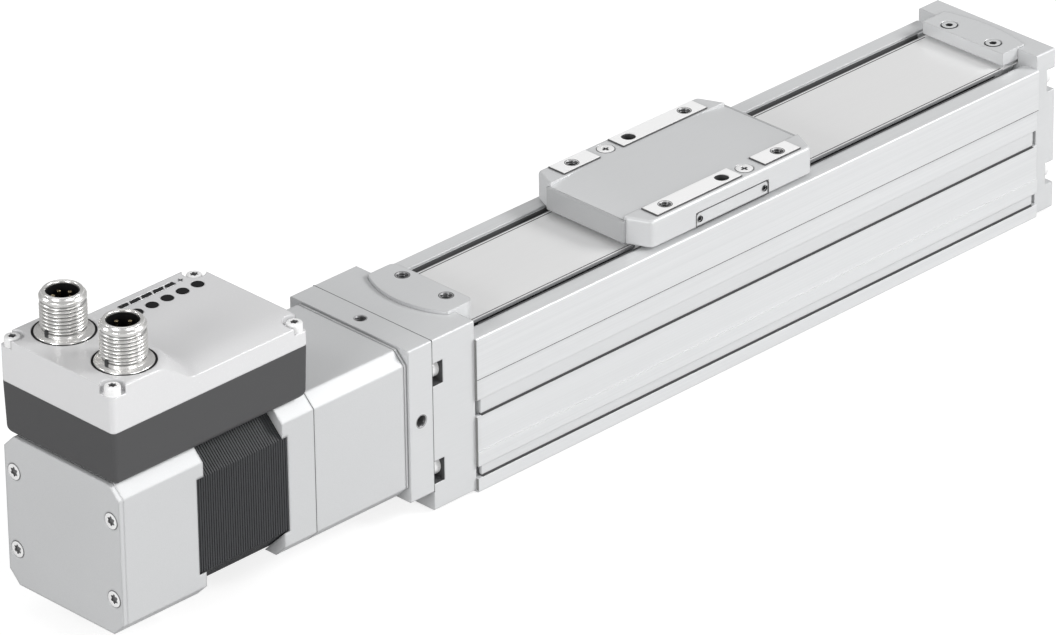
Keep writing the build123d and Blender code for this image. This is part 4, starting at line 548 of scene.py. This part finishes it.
# Light bar: level, length and width of each section of the ribs' bar, then the segments in it,
# slanted by SEGMENT_SKEW and with the share of their size at each level
BAR_SECTIONS = ((68.0, 18.9, 1.7), (70.93, 18.9, 1.7), (70.98, 18.8, 1.6))
SEGMENTS, SEGMENT_PITCH, SEGMENT_SKEW = 5, 3.9, 0.35
SEGMENT_HALF_LENGTH, SEGMENT_HALF_WIDTH, END_HALF_LENGTH = 1.65, 0.72, 1.4
SEGMENT_LEVELS = ((70.4, 1.0), (71.04, 1.0), (71.1, 0.93))


def stadium(center, length, width, height_z):
    """A slot-shaped loop lying flat."""
    half = (length - width) / 2
    points = []
    for i in range(RING):
        turn = 2 * pi * i / RING
        shift = half if cos(turn) > 0 else -half
        x = center[0] + shift + width / 2 * cos(turn)
        points.append(Vector((x, center[1] + width / 2 * sin(turn), height_z)))
    return points


def segment_corners(index):
    """Corners of a light segment round its own middle; the outer ends of the row are cut square."""
    long, wide = SEGMENT_HALF_LENGTH, SEGMENT_HALF_WIDTH
    corners = [
        (-long - SEGMENT_SKEW, -wide), (long - SEGMENT_SKEW, -wide),
        (long + SEGMENT_SKEW, wide), (-long + SEGMENT_SKEW, wide),
    ]
    if index == 0:
        corners[0], corners[3] = (-END_HALF_LENGTH, -wide), (-END_HALF_LENGTH, wide)
    if index == SEGMENTS - 1:
        corners[1], corners[2] = (END_HALF_LENGTH, -wide), (END_HALF_LENGTH, wide)
    return corners


def add_light_bar():
    """Five smoked segments, kept apart by ribs of the lid's colour."""
    low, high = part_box("light_bar")
    mid = ((low.x + high.x) / 2 / MM, (low.y + high.y) / 2 / MM)
    bar = bmesh.new()
    add_stack(bar, [stadium(mid, length, width, level) for level, length, width in BAR_SECTIONS])
    add_piece("light_bar_ribs", bar, "frame", "lid", ("light_bar",))
    segments = bmesh.new()
    for i in range(SEGMENTS):
        x = mid[0] + (i - SEGMENTS // 2) * SEGMENT_PITCH
        corners = segment_corners(i)
        loops = []
        for level, share in SEGMENT_LEVELS:
            loops.append([Vector((x + cx * share, mid[1] + cy * share, level)) for cx, cy in corners])
        add_stack(segments, loops)
    add_piece("light_bar_segments", segments, "frame", "light_guide")


PLUS_X, PLUS_Y, PLUS_ARM, PLUS_HALF_WIDTH = -169.65, 17.5, 0.85, 0.2
PLUS_SUNK, PLUS_PROUD = 0.02, 0.03


def add_plus_mark():
    """The plain plus sign at the end of the light bar, a thin inked mark on the lid."""
    bm = bmesh.new()
    arm, half = PLUS_ARM, PLUS_HALF_WIDTH
    outline = [
        (arm, half), (half, half), (half, arm), (-half, arm), (-half, half), (-arm, half),
        (-arm, -half), (-half, -half), (-half, -arm), (half, -arm), (half, -half), (arm, -half),
    ]
    levels = (PANEL_TOP - PLUS_SUNK, PANEL_TOP + PLUS_PROUD)
    add_stack(bm, [[Vector((PLUS_X + px, PLUS_Y + py, z)) for px, py in outline] for z in levels])
    add_piece("plus_mark", bm, "frame", "print_and_shade")


# Joint lines, painted shade of the gap between parts. A line is HALF wide to each side of its joint and
# stands PROUD of the surface
ADAPTER_LINE_HALF, MOTOR_LINE_HALF, LINE_PROUD = 0.09, 0.08, 0.02
MOTOR_SIDE, MOTOR_CUT = 21.0, 17.5
# Lines along the profile's side steps: height and half width. The upper line is painted shade in its step,
# the lower a faint painted line for its step's lit edge
SHADE_LINE, FAINT_LINE = (32.6, 0.09), (11.7, 0.03)
PROFILE_LINE_YS, PROFILE_LINE_INSET = (22.1, 22.505), 0.02
# Strips that shade the profile's end face, where it stands out beside the bearing cap
END_SHADE_XS, END_SHADE_YS = (-0.03, 0.01), (21.65, 22.45)
END_SHADE_ZS = ((0.6, 4.0), (7.7, 21.8), (26.6, 44.1))


def add_joint_lines():
    """The fine dark lines of painted shade where one part of the housing meets the next, and the painted
    lines along the profile.
    """
    bm = bmesh.new()
    low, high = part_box("adapter_plate")
    y, z_low, z_high, x = high.y / MM, low.z / MM, high.z / MM, high.x / MM
    add_outline(bm, [(-y, z_low), (y, z_low), (y, z_high), (-y, z_high)],
                lambda a, b, lift: Vector((x - ADAPTER_LINE_HALF + lift, a, b)),
                LINE_PROUD, 2 * ADAPTER_LINE_HALF)
    side, cut = MOTOR_SIDE, MOTOR_CUT
    corners = [(-side, -cut), (-cut, -side), (cut, -side), (side, -cut),
               (side, cut), (cut, side), (-cut, side), (-side, cut)]
    joint_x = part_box("motor_flange")[1].x / MM
    add_outline(bm, corners, lambda a, b, lift: Vector((joint_x - MOTOR_LINE_HALF + lift, a, AXIS_Z + b)),
                LINE_PROUD, 2 * MOTOR_LINE_HALF)
    add_piece("housing_joint_lines", bm, "frame", "painted_shade_dark")

    low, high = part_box("profile")
    x_low, x_high = low.x / MM, high.x / MM
    lines, faint, shades = bmesh.new(), bmesh.new(), bmesh.new()
    for side in SIDES:
        for target, (z, half) in ((faint, FAINT_LINE), (lines, SHADE_LINE)):
            x_span = (x_low + PROFILE_LINE_INSET, x_high - PROFILE_LINE_INSET)
            add_side_bar(target, side, x_span, PROFILE_LINE_YS, (z - half, z + half))
        for z_span in END_SHADE_ZS:
            add_side_bar(shades, side, [x_low + x for x in END_SHADE_XS], END_SHADE_YS, z_span)
    add_piece("profile_shade_lines", lines, "frame", "painted_shade_dark")
    add_piece("profile_faint_lines", faint, "frame", "dull")
    add_piece("profile_end_shades", shades, "frame", "painted_shade_grey")


# Machined strips of the slide: ends along X, and the middle in Y
STRIPS = ((2.2, 15.4, -STRIP_Y), (-37.8, -6.6, -STRIP_Y), (-37.8, -24.6, STRIP_Y), (-15.8, 15.4, STRIP_Y))
STRIP_HALF_WIDTH, STRIP_FOOT = 2.8, 53.1
STRIP_LINE_WIDTH, STRIP_LINE_HEIGHT = 0.14, 0.4
SIDE_COVER_Y = -20.95
SIDE_COVER_LINE_WIDTH, SIDE_COVER_LINE_HEIGHT = 0.3, 0.03
SIDE_COVER_LONG_CUT, SIDE_COVER_SHORT_CUT = 0.9, 0.3


def add_slide_lines():
    """Fine dark lines of painted shade round the machined strips and the side cover of the slide."""
    bm = bmesh.new()
    for x_low, x_high, y_mid in STRIPS:
        y_low, y_high = y_mid - STRIP_HALF_WIDTH, y_mid + STRIP_HALF_WIDTH
        add_outline(bm, [(x_low, y_low), (x_high, y_low), (x_high, y_high), (x_low, y_high)],
                    lambda a, b, lift: Vector((a, b, STRIP_FOOT + lift)), STRIP_LINE_WIDTH, STRIP_LINE_HEIGHT)
    low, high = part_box("side_cover")
    x_low, x_high, z_low, z_high = low.x / MM, high.x / MM, low.z / MM, high.z / MM
    long, short = SIDE_COVER_LONG_CUT, SIDE_COVER_SHORT_CUT
    corners = [
        (x_low + long, z_high), (x_low + short, z_high - short), (x_low, z_high - long), (x_low, z_low),
        (x_high, z_low), (x_high, z_high - long), (x_high - short, z_high - short), (x_high - long, z_high),
    ]
    add_outline(bm, corners, lambda a, b, lift: Vector((a, SIDE_COVER_Y - lift, b)),
                SIDE_COVER_LINE_WIDTH, SIDE_COVER_LINE_HEIGHT)
    add_piece("slide_joint_lines", bm, "slide", "painted_shade_dark")


# Liners of the tapped holes: the flat rim, the countersink and the turned thread, in a dark grey that is
# painted shade in the holes
LINER_PITCH, LINER_STEP, LINER_START = 0.6, 0.12, 0.35
LINER_GAP, LINER_TOOTH = 0.06, 0.16
RIM_LIFT, RIM_CUT, RIM_INNER, SINK_DEPTH = 0.03, 0.05, 0.12, 0.25
BORE_SHELF = 0.3
THREAD_DEPTH, DOWEL_DEPTH = 2.6, 2.4
M4_RADIUS, M3_RADIUS, DOWEL_RADIUS = 1.65, 1.5, 1.97
SLIDE_THREAD_XS = (-32.2, 9.8)
CLAMP_HOLE_X, CLAMP_TOP = -102.43, 50.4
ADAPTER_X, ADAPTER_TOP, ADAPTER_SIDE = -124.9, 49.5, 21.6


def add_thread(bm, top, out, radius, depth, rim):
    """A tapped hole's rim, countersink, right-hand thread and bottom, as a thin liner."""
    u, v = across(out)
    loops = [
        circle(top, u, v, round_of(rim)),
        circle(top + out * RIM_LIFT, u, v, round_of(rim - RIM_CUT)),
        circle(top + out * RIM_LIFT, u, v, round_of(radius + RIM_INNER)),
        circle(top - out * SINK_DEPTH, u, v, round_of(radius - LINER_GAP)),
    ]
    below = LINER_START
    while below < depth:
        def root(turn, deep=below):
            wave = 0.5 + 0.5 * cos(2 * pi * (deep / LINER_PITCH) + turn)
            return radius - LINER_GAP - LINER_TOOTH * wave
        loops.append(circle(top - out * below, u, v, root))
        below += LINER_STEP
    add_stack(bm, loops, close_start=False)


def add_bore(bm, top, out, radius, depth):
    """A plain hole's wall and bottom, as a thin liner."""
    u, v = across(out)
    depths = (SINK_DEPTH, BORE_SHELF, depth)
    add_stack(bm, [circle(top - out * below, u, v, round_of(radius)) for below in depths], close_start=False)


def add_threads():
    """The dowel holes and tapped holes of the slide, the motor clamp and the adapter plate."""
    slide = bmesh.new()
    for side in SIDES:
        add_bore(slide, Vector((SLIDE_X, side * STRIP_Y, SLIDE_TOP)), UP_Z, DOWEL_RADIUS, DOWEL_DEPTH)
    for x in SLIDE_THREAD_XS:
        for side in SIDES:
            add_thread(slide, Vector((x, side * STRIP_Y, SLIDE_TOP)), UP_Z, M4_RADIUS,
                       THREAD_DEPTH, rim=2.0)
    add_piece("slide_tapped_holes", slide, "slide", "tapped")
    fixed = bmesh.new()
    for side in SIDES:
        add_thread(fixed, Vector((CLAMP_HOLE_X, side * CLAMP_HOLE_Y, CLAMP_TOP)), UP_Z, M4_RADIUS,
                   THREAD_DEPTH, rim=2.05)
    add_thread(fixed, Vector((ADAPTER_X, 0, ADAPTER_TOP)), UP_Z, M3_RADIUS, THREAD_DEPTH, rim=1.75)
    for side in SIDES:
        add_thread(fixed, Vector((ADAPTER_X, side * ADAPTER_SIDE, AXIS_Z)), UP_Y * side, M4_RADIUS,
                   THREAD_DEPTH, rim=1.9)
    add_piece("housing_tapped_holes", fixed, "frame", "tapped")


# Beside the cover band, in Y and Z, all painted shade. The skirts and lines are measured from the band's edge
THROAT_SHADE_YS, THROAT_SHADE_ZS = (16.44, 16.56), (42.4, 44.42)
SKIRT_YS, SKIRT_ZS = (-0.02, 0.2), (43.62, 44.32)
EDGE_LINE_YS, EDGE_LINE_ZS = (-0.82, -0.56), (44.29, 44.36)
BAND_UNDER_MOTOR_CLAMP, BAND_UNDER_FAR_CLAMP = 8.5, 8.0


def add_band_edges():
    """Painted shade beside the cover band: dark sheets on the walls, the band's grey turned-down edges and
    dark lines along them.
    """
    liners, skirts, lines = bmesh.new(), bmesh.new(), bmesh.new()
    low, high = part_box("cover_band")
    x_span = (low.x / MM + BAND_UNDER_MOTOR_CLAMP, high.x / MM - BAND_UNDER_FAR_CLAMP)
    edge = high.y / MM
    for side in SIDES:
        for target, y_span, z_span in (
            (liners, THROAT_SHADE_YS, THROAT_SHADE_ZS),
            (skirts, [edge + y for y in SKIRT_YS], SKIRT_ZS),
            (lines, [edge + y for y in EDGE_LINE_YS], EDGE_LINE_ZS),
        ):
            add_side_bar(target, side, x_span, y_span, z_span)
    add_piece("throat_shades", liners, "frame", "painted_shade_dark")
    add_piece("band_skirts", skirts, "frame", "painted_gap_shade")
    add_piece("band_edge_shade_lines", lines, "frame", "painted_shade_dark")


# Slots in the profile's sides: the floor of each, and the ends in Y and the top of each dark strip
SLOT_FLOORS, SLOT_STRIP_FOOT = (4.1, 21.9), 0.01
SLOT_STRIPS = (((21.5, 22.42), 0.05), ((21.4, 21.93), 0.47))


def add_slot_shades():
    """Dark strips in the open gap below each slot cover."""
    bm = bmesh.new()
    low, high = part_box("slot_covers")
    for side in SIDES:
        for z in SLOT_FLOORS:
            for y_span, top in SLOT_STRIPS:
                add_side_bar(bm, side, (low.x / MM, high.x / MM), y_span, (z + SLOT_STRIP_FOOT, z + top))
    add_piece("slot_shades", bm, "frame", "painted_shade_dark")


# Windows in the bearing cap's sides, in X from the cap's end and in Z from each screw
WINDOW_START, WINDOW_END = 0.05, 3.65
WINDOW_SCREW_ZS = (11.4, 39.5)
WINDOW_HALF, WINDOW_FLOOR = 3.25, (-3.28, -3.23)
WINDOW_BACK_YS, WINDOW_WALL_YS, WINDOW_SHADE_THICKNESS = (14.62, 14.67), (14.65, 21.5), 0.05


def add_window_shades():
    """Dark faces of painted shade inside the side windows that show the bearing cap's screws."""
    bm = bmesh.new()
    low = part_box("bearing_cap")[0]
    x_low, x_high = low.x / MM + WINDOW_START, low.x / MM + WINDOW_END
    for side in SIDES:
        for z in WINDOW_SCREW_ZS:
            full = (z - WINDOW_HALF, z + WINDOW_HALF)
            for y_span, x_start, z_span in (
                (WINDOW_BACK_YS, x_low, full),
                (WINDOW_WALL_YS, x_high - WINDOW_SHADE_THICKNESS, full),
                (WINDOW_WALL_YS, x_low, [z + step for step in WINDOW_FLOOR]),
            ):
                add_side_bar(bm, side, (x_start, x_high), y_span, z_span)
    add_piece("cap_window_shades", bm, "frame", "painted_shade_dark")


add_joint_lines()
add_slide_lines()
add_threads()
add_band_edges()
add_slot_shades()
add_window_shades()
add_keying_notches()
add_connector_shells()
add_contact_carriers()
add_lid_screws()
add_end_plate_screws()
add_slide_screws()
add_side_cover_screws()
add_far_clamp_screws()
add_light_bar()
add_plus_mark()


# Stage and light, in metres and watts
FLOOR_SIZE, FLOOR_CELLS, FLOOR_Z = 3.0, 4, -0.0002
FLOOR_LIT, FLOOR_SEEN, FLOOR_GLOW = 0.6, 0.32, 0.8
WORLD_LIT, WORLD_SEEN = 0.36, 1.0
LIGHT_TARGET = (-0.06, 0, 0.03)
LIGHTS = (
    ("key", (1.0, -1.1, 1.05), 0.6, 21.0),
    ("left", (-1.7, -0.3, 0.6), 0.6, 12.0),
    ("front", (-0.3, -1.6, 0.45), 0.9, 9.0),
    ("back_left", (-1.15, 1.2, 1.1), 0.4, 4.0),
    ("top", (0.2, 0.6, 1.6), 1.0, 3.0),
)


def seen_directly(nt):
    """One for camera and glass rays, nought for the rays that light the object."""
    path = nt.nodes.new("ShaderNodeLightPath")
    add = nt.nodes.new("ShaderNodeMath")
    add.operation = "ADD"
    add.use_clamp = True
    nt.links.new(path.outputs["Is Camera Ray"], add.inputs[0])
    nt.links.new(path.outputs["Is Transmission Ray"], add.inputs[1])
    return add.outputs[0]


def mix_by_ray(nt, lit, seen, out):
    """Sends one shader to the rays that light the object and another to those that see the stage."""
    mix = nt.nodes.new("ShaderNodeMixShader")
    nt.links.new(seen_directly(nt), mix.inputs["Fac"])
    nt.links.new(lit.outputs[0], mix.inputs[1])
    nt.links.new(seen.outputs[0], mix.inputs[2])
    nt.links.new(mix.outputs[0], out.inputs["Surface"])


def floor_material():
    mat = bpy.data.materials.new("floor")
    mat.use_nodes = True
    nt = mat.node_tree
    nt.nodes.clear()
    out = nt.nodes.new("ShaderNodeOutputMaterial")
    lit = nt.nodes.new("ShaderNodeBsdfDiffuse")
    lit.inputs["Color"].default_value = (FLOOR_LIT, FLOOR_LIT, FLOOR_LIT, 1.0)
    dim = nt.nodes.new("ShaderNodeBsdfDiffuse")
    dim.inputs["Color"].default_value = (FLOOR_SEEN, FLOOR_SEEN, FLOOR_SEEN, 1.0)
    glow = nt.nodes.new("ShaderNodeEmission")
    glow.inputs["Strength"].default_value = FLOOR_GLOW
    both = nt.nodes.new("ShaderNodeAddShader")
    nt.links.new(dim.outputs[0], both.inputs[0])
    nt.links.new(glow.outputs[0], both.inputs[1])
    mix_by_ray(nt, lit, both, out)
    return mat


def add_stage():
    bm = bmesh.new()
    bmesh.ops.create_grid(bm, x_segments=FLOOR_CELLS, y_segments=FLOOR_CELLS, size=FLOOR_SIZE)
    mesh = bpy.data.meshes.new("floor")
    bm.to_mesh(mesh)
    bm.free()
    mesh.materials.append(floor_material())
    ob = bpy.data.objects.new("floor", mesh)
    ob.location.z = FLOOR_Z
    bpy.context.collection.objects.link(ob)
    world = bpy.data.worlds.new("studio")
    world.use_nodes = True
    nt = world.node_tree
    nt.nodes.clear()
    out = nt.nodes.new("ShaderNodeOutputWorld")
    lit = nt.nodes.new("ShaderNodeBackground")
    seen = nt.nodes.new("ShaderNodeBackground")
    for background, strength in ((lit, WORLD_LIT), (seen, WORLD_SEEN)):
        background.inputs["Color"].default_value = (1, 1, 1, 1)
        background.inputs["Strength"].default_value = strength
    mix_by_ray(nt, lit, seen, out)
    bpy.context.scene.world = world


def area_light(name, place, size, power):
    lamp = bpy.data.lights.new(name, "AREA")
    lamp.shape = "SQUARE"
    lamp.size = size
    lamp.energy = power
    ob = bpy.data.objects.new(name, lamp)
    ob.location = place
    look = Vector(LIGHT_TARGET) - Vector(place)
    ob.rotation_euler = look.to_track_quat("-Z", "Y").to_euler()
    bpy.context.collection.objects.link(ob)


add_stage()
for light in LIGHTS:
    area_light(*light)
bpy.context.scene.view_settings.view_transform = "Standard"
